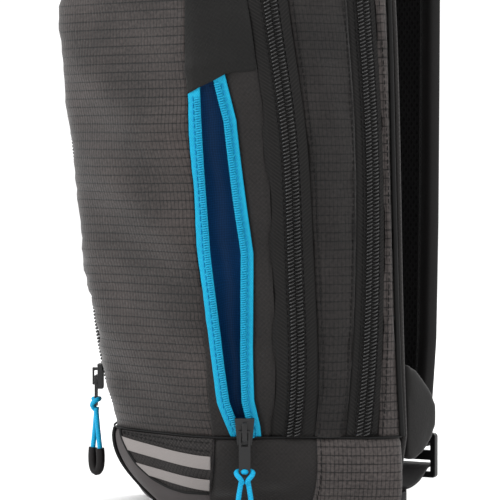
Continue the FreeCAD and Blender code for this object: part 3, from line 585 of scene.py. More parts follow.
FLAP_FOLD = ("back_section", "main_flap", (0, 0.027, 0.046), (0, 0.0136, 0.0519))
FRONT_FOLD = ("main_flap", "front_flap", (0, 0, 0.040), (0, 0, 0.058))
BASE_FOLD = ("back_section", "main_flap", (0, 0, 0.010), (0, 0, 0.046))
print("front zip is", round(float(run_lengths(front_zip(np.linspace(0, 16, 400)), 0)[-1]), 3), "m long")

# %% [markdown]
# ## The front, as one skin
# On the real pack the front panel and its two corner panels are cut apart and sewn together, and the seams
# round off because the cloth is soft. So the whole front is first made as one skin across the pack, and
# rounded by letting each row relax: every point moves to the mean of itself and its two neighbours, again
# and again, with the ends held. Then the skin is cut into panels along its columns.

# %% The skin and how to read it
ROWS, CORNER_COLUMNS, FRONT_COLUMNS = 161, 24, 48
RIGHT_CROWN = CORNER_COLUMNS + FRONT_COLUMNS
LAST_COLUMN = RIGHT_CROWN + CORNER_COLUMNS
FRONT_BULGE = 4.0 * MM
MIRROR = np.array([-1, 1, 1])


def between(a, b, columns):
    """Points shared out evenly from one line to another, a row for each station."""
    s = np.linspace(0, 1, columns + 1)[None, :, None]
    return a[:, None] * (1 - s) + b[:, None] * s


def front_skin():
    """The rows from the left zip tape over both crown lines to the right tape, relaxed, then creased."""
    t = np.linspace(0, TOP, ROWS)
    corner_edge, crown_line = front_zip_front(t), crown(t)
    left = between(corner_edge * MIRROR, crown_line * MIRROR, CORNER_COLUMNS)
    middle = between(crown_line * MIRROR, crown_line, FRONT_COLUMNS)
    share = np.linspace(-1, 1, FRONT_COLUMNS + 1)
    width = np.clip(crown_line[:, 0] / (30 * MM), 0, 1)
    middle[..., 1] -= FRONT_BULGE * (1 - share[None] ** 2) * width[:, None]
    right = between(crown_line, corner_edge, CORNER_COLUMNS)
    skin = np.concatenate([left[:, :-1], middle, right[:, 1:]], axis=1)
    for _ in range(30):
        skin[:, 1:-1] = 0.25 * skin[:, :-2] + 0.5 * skin[:, 1:-1] + 0.25 * skin[:, 2:]
    up, across = run_lengths(skin, 0), run_lengths(skin, 1)
    height = skin[..., 2]
    from_left = across / (30 * MM)
    puckers = np.sin(height * 2 * np.pi / (10.5 * MM) + 2.2 * folds(across, up, 4)) * np.exp(-from_left ** 2)
    puckers *= 0.5 + 0.5 * folds(across * 0, up, 9, shortest=0.04, longest=0.11)
    crease = 1.1 * MM * puckers + 2.1 * MM * folds(across, up * 1.3, 2, shortest=0.04, longest=0.12)
    crease += 0.32 * MM * folds(across * 0.35, up, 6, shortest=0.008, longest=0.02)
    held = np.clip(up / (8 * MM), 0, 1) * np.clip((up[-1:] - up) / (14 * MM), 0, 1)
    return skin + normals(skin) * (crease * held)[..., None]


SKIN = front_skin()
SKIN_OUT = normals(SKIN)


def read(grid, t, column):
    """The grid's value between its points: the four nearest, weighted by how near they are."""
    t, column = np.broadcast_arrays(t, column)
    row = np.clip(t / TOP * (ROWS - 1), 0, ROWS - 1.001)
    column = np.clip(column, 0, LAST_COLUMN - 0.001)
    i, j = row.astype(int), column.astype(int)
    f, g = (row - i)[..., None], (column - j)[..., None]
    low = grid[i, j] * (1 - g) + grid[i, j + 1] * g
    high = grid[i + 1, j] * (1 - g) + grid[i + 1, j + 1] * g
    return low * (1 - f) + high * f


def on_skin(t, column, lift=0.0):
    """A place on the front skin, raised off it by lift."""
    return read(SKIN, t, column) + unit(read(SKIN_OUT, t, column)) * np.asarray(lift)[..., None]


def pocket_column(t, tapes, mouths):
    """The skin's column that lies past so many pocket tapes and mouths, counted from the right crown line."""
    width = np.linalg.norm(front_zip_front(t) - crown(t), axis=-1)
    start = np.interp(t, *np.array(POCKET_START_AT).T) * MM
    mouth = np.interp(t, *np.array(POCKET_MOUTH_AT).T) * MM
    return RIGHT_CROWN + CORNER_COLUMNS * (start + tapes * POCKET_TAPE + mouths * mouth) / width


skin_points = SKIN.reshape(-1, 3)
print("front skin", SKIN.shape, "from", skin_points.min(0).round(3), "to", skin_points.max(0).round(3))

# %% [markdown]
# ## Front panel and corner panels
# The ripstop panel runs from the left zip over the left corner to the right crown line. The right corner is
# plain black cloth: a strip beside the pocket, and above it a panel whose lower edge is folded over the
# pocket's top end as a small hood, which keeps rain out of the zip.

# %% Cut the panels from the skin
ripstop_points = tuck(SKIN[:, :RIGHT_CROWN + 1], sides=(True, False))
panel("ripstop_front", ripstop_points, RIPSTOP, FRONT_FOLD, ["front_panel", "corner_panel_left"], merge=1e-5)

t = np.linspace(0, POCKET_END + 0.05, 110)
beside_start = pocket_column(t, 2, 1)
s = np.linspace(0, 1, 30)
columns = beside_start[:, None] * (1 - s) + LAST_COLUMN * s
panel("cloth_beside_pocket", tuck(on_skin(t[:, None], columns)), PLAIN_BLACK, FRONT_FOLD,
      ["corner_panel_right"])

s = np.linspace(0, 1, 40)
hood_low = np.interp(s, [0, 0.55, 0.75, 1], [3.40, 3.55, POCKET_END, POCKET_END])
rise = np.linspace(0, 1, 100)[:, None] ** 1.15
hood_t = hood_low[None] * (1 - rise) + TOP * rise
hood_columns = RIGHT_CROWN + CORNER_COLUMNS * np.broadcast_to(s, hood_t.shape)
over_zip = np.interp(s, [0, 0.1, 0.5, 0.72], [0.6, 1.9, 2.2, 0.0])
hood_lift = over_zip[None] * MM * np.exp(-((hood_t - hood_low[None]) / 0.35) ** 2)
hood_crease = 1.5 * MM * np.exp(-((hood_t - hood_low[None] - 0.22 * (1 - s[None])) / 0.07) ** 2)
hood_lift += hood_crease * np.clip(1 - s[None] * 0.8, 0, 1)
hood = tuck(on_skin(hood_t, hood_columns, hood_lift), sides=(False, True))
panel("cloth_above_pocket", hood, DEEP_BLACK, FRONT_FOLD, ["corner_panel_right"], merge=1e-5)

t = np.linspace(0, 1.7, 50)
s = np.linspace(0, 1, 8)
columns = RIGHT_CROWN - 0.4 + (pocket_column(t, 0.12, 0) - RIGHT_CROWN + 0.4)[:, None] * s
panel("strip_before_pocket", on_skin(t[:, None], columns, 0.15 * MM), PLAIN_BLACK, FRONT_FOLD,
      ["corner_panel_right"])
print("front panels cut")

# %% [markdown]
# ## Zips
# A coil zip is two woven tapes, each with a nylon coil sewn along its edge. Every turn of the coil is one
# tooth: the thread rises off the tape, goes over to the middle and hooks between the turns of the other
# side. One turn is modelled as a short bent tube and repeated along the zip, 1.76 mm apart. The tapes are
# ruled surfaces with a small step where the coil is sewn on.

# %% One turn of a coil, tapes and rows of teeth
COIL_PITCH = 1.76 * MM
TAPE_ROWS = 260
FINE_PITCH = 1.15 * MM
TAPE_UNDER = 0.16                  # the share of its width that a tape runs on under the cloth
# A tape's height in mm, at shares of its width from the seam to the middle line.
TAPE_STEP = ([-TAPE_UNDER, 0, 0.05, 0.5, 0.56, 1], [-1.5, -1.1, -0.2, 0.0, 0.35, 0.35])
COIL_TURN = small_tube(np.array([[-0.85, 3.5, 0.0], [-0.7, 3.2, 1.1], [-0.25, 2.2, 1.6], [0.25, 1.1, 1.5],
                                 [0.6, 0.0, 0.8]]) * MM, 0.45 * MM, 6)
FINE_TURN = small_tube(np.array([[-0.3, 2.9, 0.2], [-0.2, 2.6, 0.8], [0, 1.7, 1.05], [0.15, 0.7, 0.95],
                                 [0.24, 0.0, 0.4]]) * MM, 0.34 * MM, 5)


def sheet_out(path, across):
    """The outward direction on a line: square to the line and to the direction across it."""
    n = unit(np.cross(np.gradient(path, axis=0), across))
    away = np.einsum("ij,ij->i", n, path - MIDDLE)
    return n * np.sign(away.sum())


def coil(name, middle_line, tape_line, shape, pitch, finish_name, holder):
    """A row of coil turns from a zip's middle line towards its tape, standing outwards."""
    across = unit(tape_line - middle_line)
    points, faces = copies_along(middle_line, across, sheet_out(middle_line, across), pitch, shape)
    return dress(mesh_object(name, points, faces), finish_name, holder)


def tape(name, seam, middle_line, finish_name, holder, replaces):
    """One woven tape of a closed zip, from its seam to the middle line, stepped up under the coil."""
    t = np.linspace(0, ARCH_END, TAPE_ROWS)
    a, b = seam(t), middle_line(t)
    points = between(a + (a - b) * TAPE_UNDER, b, 16)
    step = np.interp(np.linspace(-TAPE_UNDER, 1, 17), *TAPE_STEP)
    points = points + normals(points) * (step * MM)[None, :, None]
    return panel(name, points, finish_name, holder, replaces, thickness=0.7 * MM)


t = np.linspace(0.02, 15.98, 900)
for name, middle_curve, seam, holder, node in [
        ("front_zip_front", front_zip, front_zip_front, FRONT_FOLD, "front_zip_front_half"),
        ("front_zip_rear", front_zip, front_zip_rear, "main_flap", "front_zip_rear_half"),
        ("main_zip_front", main_zip, main_zip_front, FLAP_FOLD, "main_zip_front_half"),
        ("main_zip_rear", main_zip, main_zip_rear, "back_section", "main_zip_rear_half")]:
    middle_line, seam_line = middle_curve(t), seam(t)
    tape(name + "_tape", seam, middle_curve, BLACK_TAPE, holder, [node])
    out = sheet_out(middle_line, unit(seam_line - middle_line))
    coil(name + "_coil", middle_line + out * 0.2 * MM, seam_line, COIL_TURN, COIL_PITCH, BLACK_COIL, holder)
    across = unit(seam_line - middle_line)
    stitch_line = middle_line + across * 4.6 * MM + out * 0.35 * MM
    stitches(name + "_stitches", stitch_line, across, out, BLACK_THREAD, holder)
print("closed zips made")

# %% [markdown]
# ## The pocket with its open blue zip
# The side pocket's zip is open. Each blue tape is flat along its seam and thick along its edge, where the
# open coil stands as a fine comb. Between the tapes a dark blue lining hangs inwards as a trough whose
# depth grows from its two ends.

# %% Blue tapes, their coils and the lining
t = np.linspace(0.0, POCKET_END + 0.03, 150)
for name, tapes, mouths, inner, node in [("pocket_front", 0, 0, 1, "pocket_zip_front_half"),
                                         ("pocket_rear", 2, 1, -1, "pocket_zip_rear_half")]:
    s = np.linspace(0, 1, 16)
    seam_column, edge_column = pocket_column(t, tapes, mouths), pocket_column(t, tapes + inner, mouths)
    columns = seam_column[:, None] * (1 - s) + edge_column[:, None] * s
    lift = np.interp(s, [0, 0.06, 0.5, 0.58, 0.92, 1], [0.0, 0.5, 0.65, 1.0, 1.1, 0.4]) * MM
    points = on_skin(t[:, None], columns, lift[None])
    panel(name + "_tape", points, BLUE_TAPE, FRONT_FOLD, [node], thickness=0.8 * MM)
    tooth_t = t[t < (3.37 if inner > 0 else 3.5)]
    edge = on_skin(tooth_t, pocket_column(tooth_t, tapes + inner, mouths), 1.0 * MM)
    seam_side = on_skin(tooth_t, pocket_column(tooth_t, tapes, mouths), 1.0 * MM)
    coil(name + "_coil", edge, seam_side, FINE_TURN, FINE_PITCH, BLUE_COIL, FRONT_FOLD)
    across = unit(seam_side - edge)
    stitches(name + "_stitches", edge + across * 3.7 * MM, across, sheet_out(edge, across), BLUE_THREAD,
             FRONT_FOLD)

s = np.linspace(0, 1, 26)
start, end = pocket_column(t, 0.3, 0), pocket_column(t, 1.7, 1)
columns = start[:, None] * (1 - s) + end[:, None] * s
ends = np.clip(np.sin(np.pi * np.clip((t - 0.0) / (POCKET_END + 0.1), 0, 1)), 0, 1) ** 0.35
sunk = -(0.8 + 12.0 * ends[:, None] * np.sin(np.pi * s)[None] ** 0.6) * MM
panel("pocket_lining_cloth", on_skin(t[:, None], columns, sunk), BLUE_LINING, FRONT_FOLD, ["pocket_lining"],
      thickness=0.4 * MM)
print("pocket made")

# %% [markdown]
# ## Middle band and rear band
# Behind the front zip a black band carries the main zip, and behind that a charcoal band joins the back.
# Both are ruled surfaces, pushed out a little in their middle and tucked in at their seams, with soft folds.

# %% The two bands
band = tuck(ruled(front_zip_rear, main_zip_front, 0, 16, 321, 22, puff=1.2 * MM, uneven=1.0 * MM, seed=21))
panel("middle_band_cloth", band, DARK_RIPSTOP, FLAP_FOLD, ["middle_band"])
band = tuck(ruled(main_zip_rear, back_edge, 0, 16, 321, 16, puff=0.7 * MM, uneven=0.7 * MM, seed=22))
panel("rear_band_cloth", band, CHARCOAL, "back_section", ["rear_band"])

t = np.linspace(0.03, 15.97, 900)
for name, edge, other, holder, inset in [
        ("band_front_seam", front_zip_rear, main_zip_front, FLAP_FOLD, 2.2),
        ("band_rear_seam", main_zip_front, front_zip_rear, FLAP_FOLD, 2.2),
        ("rear_band_front_seam", main_zip_rear, back_edge, "back_section", 2.2)]:
    a, b = edge(t), other(t)
    across = unit(b - a)
    out = sheet_out(a, across)
    stitches(name, a + across * inset * MM + out * 0.25 * MM, across, out, BLACK_THREAD, holder)
print("bands made")

# %% [markdown]
# ## The base
# The base is a moulded-looking tub sewn from panels: a front, two sides and a floor. Its outline is given
# at six heights, each by the middle, the front corner, the zip corner, the side and the back corner. A
# smooth curve runs round each outline and another runs up through the heights, which rounds its corners.

# %% The base surface
BASE_HEIGHTS = [0, 7, 17, 28, 38, 45.6]
BASE_HALVES = [[(0, -6), (12, -3), (38, 18), (72, 36), (88, 45.0)],
               [(0, -13), (18, -9), (46, 14), (79, 33), (94, 45.1)],
               [(0, -21), (25.4, -16), (54, 10), (84, 30), (97, 45.2)],
               [(0, -26), (32.5, -21.5), (60, 6), (87, 28), (97.5, 45.2)],
               [(0, -28), (35.5, -24), (62, 4), (88, 27), (97, 45.2)],
               [(0, -28), (35.5, -23.5), (61.5, 4.5), (87, 27), (96, 45.2)]]
BASE_MIDDLE = np.array([0.0, 0.03, 0.02])
ZIP_SEAM_U = 2.31              # where the base's side seam meets the inner edge of the front zip


def base_lines():
    """The nine corners of each outline, left to right, as one table of heights by corners."""
    table = []
    for z, half in zip(BASE_HEIGHTS, BASE_HALVES):
        right = np.array([(x, y, z) for x, y in half], float)
        table.append(np.concatenate([right[:0:-1] * MIRROR, right]))
    return np.array(table) * MM


BASE_TABLE = base_lines()


def base_grid(u, v):
    """Base points: u from -4 to 4 round the outline, v from 0 to 5 up through the heights."""
    around = smooth_line(BASE_TABLE.transpose(1, 0, 2))(np.asarray(u) + 4)
    return smooth_line(around.transpose(1, 0, 2))(np.asarray(v))


def base_normals(points):
    """Outward normals of a base panel, turned away from the middle of the base."""
    n = unit(np.cross(np.gradient(points, axis=1), np.gradient(points, axis=0)))
    return n * np.sign(np.einsum("ijk,ijk->ij", n, points - BASE_MIDDLE).sum())


def base_panel(name, u, v, finish_name, holder, replaces, uneven=0.4, seed=0):
    """A panel of the base between two places round the outline, with soft folds and tucked-in side seams."""
    points = base_grid(u, v)
    out = base_normals(points)
    across, up = run_lengths(points, 1), run_lengths(points, 0)
    edge = np.minimum(across, across[:, -1:] - across) / (1.5 * MM)
    height = uneven * MM * folds(across, up, seed) * np.tanh(edge) - 0.8 * MM * np.exp(-edge ** 2)
    top = np.exp(-((up[-1:] - up) / (1.4 * MM)) ** 2)
    return panel(name, points + out * (height - 0.7 * MM * top)[..., None], finish_name, holder, replaces,
                 away_from=BASE_MIDDLE)


v = np.linspace(0, 5, 46)
base_panel("base_front_coated", np.linspace(-1, 1, 60), v, COATED_GREY, "back_section", ["base_front"],
           seed=31)
for side, name in ((1, "right"), (-1, "left")):
    base_panel("base_corner_" + name, side * np.linspace(1, ZIP_SEAM_U, 44), v, PLAIN_BLACK, BASE_FOLD,
               ["base_side_" + name], seed=33, uneven=0.8)
    base_panel("base_side_panel_" + name, side * np.linspace(ZIP_SEAM_U, 4, 44), v, CHARCOAL, FLAP_FOLD,
               ["base_side_" + name], seed=34, uneven=0.5)
floor_ring = base_grid(np.linspace(-4, 4, 65), np.array([0.0]))[0] * [0.985, 1, 1]
floor_rows = np.linspace(0, 1, 6)[:, None, None]
back_line = floor_ring * [1, 0, 1] + [0, 0.0448, 0]
floor_points = floor_ring[None] * (1 - floor_rows) + back_line[None] * floor_rows
panel("base_floor_panel", floor_points, COATED_GREY, "back_section", ["base_floor"], thickness=1.2 * MM,
      away_from=np.array([0, 0.02, 0.05]), merge=1e-5)
print("base panels made")

# %% [markdown]
# ## The ripstop inset, its stripes and its piping
# The front of the base carries a second layer: a ripstop inset with two reflective stripes, cut away on its
# left along a curve that falls from the top seam and sweeps to the right. A dark piping covers that edge.
# The inset is a grid whose left side follows the curve and whose right side is the base's front corner.

# %% Inset, stripes and piping
INSET_EDGE = np.array([(16.9, 13.0), (17.5, 7.0), (19.0, 1.5), (22, -6.5), (28.6, -15.5), (34.8, -20.5),
                       (42, -25.5), (45.4, -27.3)]) * MM      # height and x of the cut edge
INSET_LIFT = 1.0 * MM
INSET_FROM, INSET_TO = 0.0171, 0.0452
STRIPE_LIFT, STRIPE_THICK = INSET_LIFT + 0.55 * MM, 0.35 * MM
STRIPE_SHARE = (0.012, 0.985)


def inset_x(z):
    """The x of the inset's cut edge at a height."""
    return np.interp(z, *INSET_EDGE.T)


def on_base_front(z, share):
    """Base points at heights z: share 0 is the cut edge and 1 the front corner seam."""
    v = np.interp(z, np.array(BASE_HEIGHTS) * MM, np.arange(6))
    corner = base_grid(np.array([1.0]), v)[:, 0, 0]
    u_line = np.linspace(-1, 1, 201)
    lines = base_grid(u_line, v)
    x = inset_x(z)[:, None] * (1 - share) + corner[:, None] * share
    u = np.stack([np.interp(xr, line[:, 0], u_line) for xr, line in zip(x, lines)])
    y = np.stack([np.interp(ur, u_line, line[:, 1]) for ur, line in zip(u, lines)])
    return np.stack([x, y, np.broadcast_to(z[:, None], x.shape)], axis=-1)


def inset_sheet(name, low, high, finish_name, lift, share=(0.0, 1.0), replaces=(), thickness=0.5 * MM,
                seed=None, rise=0.0):
    """A sheet on the base's front between two heights, raised off it; rise lifts its left end."""
    shares = np.linspace(*share, 60)
    z = np.linspace(low, high, 34)[:, None] + rise * (1 - shares[None]) ** 1.4
    every = np.linspace(low, high + rise + 1e-6, 90)
    table = on_base_front(every, shares[None])
    row = (z - low) / (high + rise + 1e-6 - low) * 89
    i = np.clip(row.astype(int), 0, 88)
    f = (row - i)[..., None]
    columns = np.arange(60)[None]
    points = table[i, columns] * (1 - f) + table[i + 1, columns] * f
    out = base_normals(points)
    if seed is not None:
        lift = (lift + 0.35 * MM * folds(points[..., 0], points[..., 2], seed))[..., None]
    return panel(name, points + out * lift, finish_name, "back_section", replaces, thickness, BASE_MIDDLE)


inset_sheet("base_ripstop_inset", INSET_FROM, INSET_TO, BASE_RIPSTOP, INSET_LIFT, seed=41)
inset_sheet("reflective_stripe_low", 0.0195, 0.0252, REFLECTIVE, STRIPE_LIFT, STRIPE_SHARE,
            ["reflective_stripes"], STRIPE_THICK, rise=5.0 * MM)
inset_sheet("reflective_stripe_high", 0.0305, 0.0368, REFLECTIVE, STRIPE_LIFT, STRIPE_SHARE,
            ["reflective_stripes"], STRIPE_THICK, rise=5.5 * MM)

z = np.linspace(0.0455, 0.0169, 26)
edge = on_base_front(z, np.zeros((1, 1)))[:, 0] + np.array([0, -1.1, 0]) * MM
tail = on_base_front(np.array([0.0169]), np.linspace(0, 1, 6)[None])[0] + np.array([0, -1.1, 0]) * MM
dress(tube_mesh("inset_piping", np.concatenate([edge, tail[1:]]), 1.7 * MM), PIPING, "back_section")
for side, name in ((1, "right"), (-1, "left")):
    corner = base_grid(np.array([side * 1.0]), np.linspace(0.15, 5, 22))[:, 0]
    if side < 0:
        corner = corner + np.array([-0.3, -0.3, 0]) * MM
        dress(tube_mesh("corner_piping_left", corner, 2.0 * MM), PIPING, "back_section")
    rim = base_grid(side * np.linspace(1, ZIP_SEAM_U, 30), np.array([5.0]))[0] + np.array([0, 0, 0.2]) * MM
    dress(tube_mesh("base_top_cord_front_" + name, rim, 1.1 * MM), PIPING, BASE_FOLD)
    rim = base_grid(side * np.linspace(ZIP_SEAM_U, 4, 30), np.array([5.0]))[0] + np.array([0, 0, 0.2]) * MM
    dress(tube_mesh("base_top_cord_side_" + name, rim, 1.1 * MM), PIPING, FLAP_FOLD)
    seam = base_grid(np.array([side * ZIP_SEAM_U]), np.linspace(0.1, 4.95, 30))[:, 0]
    beside_seam = base_grid(side * np.linspace(2.2, 2.4, 3), np.linspace(0.1, 4.95, 30))
    across = unit(np.gradient(beside_seam, axis=1)[:, 1])
    out = unit(np.cross(np.gradient(seam, axis=0), across))
    out *= np.sign(np.einsum("ij,ij->i", out, seam - BASE_MIDDLE).sum())
    stitches("base_side_seam_" + name, seam + across * side * 2.0 * MM + out * 0.3 * MM, across, out,
             BLACK_THREAD, FLAP_FOLD)
rim = base_grid(np.linspace(-1, 1, 40), np.array([5.0]))[0] + np.array([0, 0.1, 0.2]) * MM
dress(tube_mesh("base_top_cord_middle", rim, 1.2 * MM), PIPING, "back_section")
for name, z_row, rise in (("base_front_seam_high", 0.0432, 1.4 * MM),
                          ("base_front_seam_low", 0.0392, 5.0 * MM)):
    shares = np.linspace(0.03, 0.97, 60)
    rows = on_base_front(z_row + rise * np.linspace(0, 1, 60), shares[None])
    pick = np.round(59 * (1 - shares) ** 1.4).astype(int)
    row, out = rows[pick, np.arange(60)], base_normals(rows)[pick, np.arange(60)]
    stitches(name, row + out * (INSET_LIFT + 0.3 * MM), np.tile([0.0, 0, 1], (60, 1)), out, BLACK_THREAD,
             "back_section")
print("inset edge runs from x", round(float(INSET_EDGE[-1, 1]), 4), "to", round(float(INSET_EDGE[0, 1]), 4))

# %% [markdown]
# ## Hardware from the frame
# Sliders, pullers, buckles and the ladder locks keep their CAD shape. A moulded part never has knife edges,
# so a copy of each is cleaned up: its doubled points are merged, its flat faces are joined again, and
# every sharp edge gets a small round. The copy stands for the CAD node.

# %% Softened copies of the hardware
def softened(node, finish_name, body, radius=0.35 * MM):
    """A copy of a CAD node with merged points, dissolved flats and rounded edges of this radius."""
    work = bmesh.new()
    work.from_mesh(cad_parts[node].data)
    bmesh.ops.remove_doubles(work, verts=work.verts, dist=2e-6)
    bmesh.ops.dissolve_limit(work, angle_limit=math.radians(3), verts=work.verts, edges=work.edges)
    mesh = bpy.data.meshes.new(node + "_look")
    work.to_mesh(mesh)
    work.free()
    obj = bpy.data.objects.new(node + "_look", mesh)
    bpy.context.scene.collection.objects.link(obj)
    rounding = obj.modifiers.new("round", "BEVEL")
    rounding.width = radius
    rounding.segments = 2
    rounding.limit_method = "ANGLE"
    rounding.angle_limit = math.radians(35)
    rounding.harden_normals = False
    mesh.polygons.foreach_set("use_smooth", np.ones(len(mesh.polygons), bool))
    mesh.set_sharp_from_angle(angle=math.radians(45))
    return dress(obj, finish_name, body, [node])


HARDWARE = {"front_slider": "front_slider", "main_slider": "main_slider", "pocket_slider": "pocket_slider",
            "front_puller": "front_pull", "main_puller": "main_pull", "pocket_puller": "pocket_pull",
            "ladder_lock_right": "ladder_lock_right", "ladder_lock_left": "ladder_lock_left",
            "belt_buckle_socket": "back_section", "belt_buckle_prongs": "belt_prongs",
            "chest_buckle_socket": "chest_strap", "chest_buckle_prongs": "chest_prongs",
            "chest_clips": "chest_strap", "chest_rails": "back_section", "hose_port": "back_section"}
for node, body in HARDWARE.items():
    softened(node, MOULDED, body)
for node, body, finish_name in (("screw_cap", "cap", CAP_BLUE), ("filler_ring", "back_section", CAP_BLUE),
                                ("outlet_fitting", "back_section", MOULDED),
                                ("outlet_button", "outlet_button", CAP_BLUE)):
    softened(node, finish_name, body, 0.3 * MM)
print(len(HARDWARE) + 4, "hardware pieces rounded")

# %% [markdown]
# ## Pull cords
# Each zip pull is a short cord looped through the puller's eye with a hitch, its lower end held in a soft
# tube. The cord is one smooth spline on the same points as in the CAD, hung from the pin and turned with
# the slider. The front loop also twists as it drops, as a real loop does. The tube and the hitch follow
# points in the same hanging frame.

# %% The hanging frame, cords, tubes and hitches
CORD_DIAMETER, GRIP_DIAMETER = 2.6 * MM, 4.6 * MM
EYE_TO_CORD = 3.6
CORD_HALF = [(1.5, 0), (2.8, 0.35), (3.4, 0.7), (3.0, 1)]
GRIP_HALF = [(3.26, 0.62), (3.4, 0.7), (3.0, 1)]
HITCH = [(-1.1, -0.6, -4.6), (-1.5, -2.1, -3.0), (-3.2, -2.0, -1.4), (-4.4, -0.2, 0.2), (-3.2, 1.6, 1.0),
         (-0.9, 1.2, 0.4), (-0.5, -1.6, 0.9), (0.5, -1.6, 0.9), (0.9, 1.2, 0.4), (3.2, 1.6, 1.0),
         (4.4, -0.2, 0.2), (3.2, -2.0, -1.4), (1.5, -2.1, -3.0), (1.1, -0.6, -4.6)]
# Each pull: its pin, the way its slider faces, the height of its eye, its drop, its tilt and its twist.
PULLS = {"front": ((-72.72, -3.58, 67.99), (-0.745, -0.668), -12.8, 34, 0, -65),
         "main": ((78.71, 26.77, 351.65), (0.966, -0.258), -12.8, 34, 13, 0),
         "pocket": ((51.29, -18.17, 49.28), (0.72, -0.694), -20.0, 19, 0, 0)}


def hung(points, pin, facing, tilt):
    """Points below a pin, tilted out from the cloth about it and turned with the slider; in metres."""
    p = np.array(points, float)
    lean = math.radians(-tilt)
    y = p[:, 1] * math.cos(lean) - p[:, 2] * math.sin(lean)
    z = p[:, 1] * math.sin(lean) + p[:, 2] * math.cos(lean)
    turn = math.atan2(facing[0], -facing[1])
    x = p[:, 0] * math.cos(turn) - y * math.sin(turn)
    y = p[:, 0] * math.sin(turn) + y * math.cos(turn)
    return (np.stack([x, y, z], axis=1) + pin) * MM


def loop(half, top, drop, twist):
    """Down one side of a loop and up the other, from x and the share of its drop; it twists as it drops."""
    turns = [math.radians(twist) * share for _, share in half]
    left = [(-x * math.cos(a), x * math.sin(a), top - share * drop) for (x, share), a in zip(half, turns)]
    return left + [(-x, -y, z) for x, y, z in reversed(left)]


for name, (pin, facing, eye, drop, tilt, twist) in PULLS.items():
    body = name + "_pull"
    top = eye - EYE_TO_CORD
    line = hung(loop(CORD_HALF, top, drop, twist), pin, facing, tilt)
    cord = curve_object(name + "_cord", line, CORD_DIAMETER, resolution=12, order=3)
    dress(cord, BLUE_CORD, body, [name + "_pull_cord"])
    grip_line = hung(loop(GRIP_HALF, top, drop, twist), pin, facing, tilt)
    grip = tube_mesh(name + "_grip_tube", grip_line, GRIP_DIAMETER)
    dress(grip, GRIP, body, [name + "_pull_grip"])
    knot = tube_mesh(name + "_hitch", hung([(x, y, eye + z) for x, y, z in HITCH], pin, facing, tilt),
                     CORD_DIAMETER * 0.96, resolution=5)
    dress(knot, BLUE_CORD, body)
    print(name, "cord, runs added up", round(float(run_lengths(line, 0)[-1]), 4))

# %% [markdown]
# ## Back panel, pads and side wings
# The back is a padded panel with two long foam pads, and a small padded wing stands on each side of the
# base. Foam under cloth swells between its seams, so each pad is blown up a little by a cloth simulation:
# it starts slightly small, gets a light pressure, and no point may move further than a cap.

# %% Padded pieces
def swept(name, path, side, out, thick, finish_name, holder, replaces=(), power=3.5, end=2.0 * MM, sides=28,
          skin=0.0, span=(0.0, 2 * np.pi)):
    """A strap: the section |x|^power + |y|^power = 1, scaled by side and half the thickness, along a path.
    Towards both ends the thickness falls to nothing by a quarter circle of radius end."""
    angle = np.linspace(*span, sides + 1)
    c, s = np.cos(angle), np.sin(angle)
    x, y = np.sign(c) * abs(c) ** (2 / power), np.sign(s) * abs(s) ** (2 / power)
    length = run_lengths(path, 0)
    near = np.clip(np.minimum(length, length[-1] - length) / end, 0, 1)
    shrink = np.sqrt(np.maximum(1 - (1 - near) ** 2, 0))[:, None, None]
    half = np.linalg.norm(side, axis=1)[:, None, None]
    narrowed = half + skin - (1 - shrink) * np.minimum(end, half * 0.3)
    across = unit(side)[:, None] * x[None, :, None] * narrowed
    points = path[:, None] + across + unit(out)[:, None] * (y[None, :, None] * (thick / 2 + skin) * shrink)
    uv = np.stack([run_lengths(points[len(points) // 2][None], 1).repeat(len(points), 0),
                   np.broadcast_to(length[:, None], points.shape[:2])], axis=-1)
    open_strip = span[1] - span[0] < 6
    obj = mesh_object(name, points, grid_faces(*points.shape[:2]), uv, 1e-6,
                      path.mean(0) if open_strip else None)
    if open_strip:
        thicken(obj, 0.6 * MM)
    return dress(obj, finish_name, holder, replaces)


def swollen(node, finish_name, holder, shrink=0.6 * MM, voxel=4.5 * MM, cap=2.5 * MM, pressure=4.0,
            shape=None):
    """A pad from a CAD node: merged, drawn in, remeshed, blown up as cloth with its movement capped."""
    work = bmesh.new()
    work.from_mesh(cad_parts[node].data)
    bmesh.ops.remove_doubles(work, verts=work.verts, dist=2e-6)
    mesh = bpy.data.meshes.new(node + "_pad")
    work.to_mesh(mesh)
    work.free()
    obj = bpy.data.objects.new(node + "_pad", mesh)
    bpy.context.scene.collection.objects.link(obj)
    drawn = obj.modifiers.new("drawn_in", "DISPLACE")
    drawn.strength, drawn.mid_level = -shrink, 0.0
    remesh = obj.modifiers.new("voxels", "REMESH")
    remesh.mode, remesh.voxel_size = "VOXEL", voxel

    def baked():
        bpy.context.view_layer.update()
        result = bpy.data.meshes.new_from_object(obj.evaluated_get(bpy.context.evaluated_depsgraph_get()))
        obj.modifiers.clear()
        obj.data = result
        place = np.zeros(len(result.vertices) * 3, np.float32)
        result.vertices.foreach_get("co", place)
        return place.reshape(-1, 3)

    rest = baked()
    moved = rest
    cloth = obj.modifiers.new("cloth", "CLOTH")
    cloth.settings.use_pressure = True
    cloth.settings.uniform_pressure_force = pressure
    cloth.settings.effector_weights.gravity = 0
    cloth.point_cache.frame_start, cloth.point_cache.frame_end = 1, 20
    for step in range(1, 21):
        bpy.context.scene.frame_set(step)
    moved = baked()
    bpy.context.scene.frame_set(1)
    shift = moved - rest
    far = np.linalg.norm(shift, axis=1, keepdims=True)
    place = rest + shift * np.minimum(1, cap / np.maximum(far, 1e-9))
    if shape:
        place = shape(place)
    obj.data.vertices.foreach_set("co", place.astype(np.float32).ravel())
    obj.data.polygons.foreach_set("use_smooth", np.ones(len(obj.data.polygons), bool))
    finer = obj.modifiers.new("finer", "SUBSURF")
    finer.levels = finer.render_levels = 1
    dress(obj, finish_name, holder, [node])
    print(node, len(obj.data.polygons), "faces, moved up to", round(float(far.max()) * 1000, 2), "mm")
    return obj


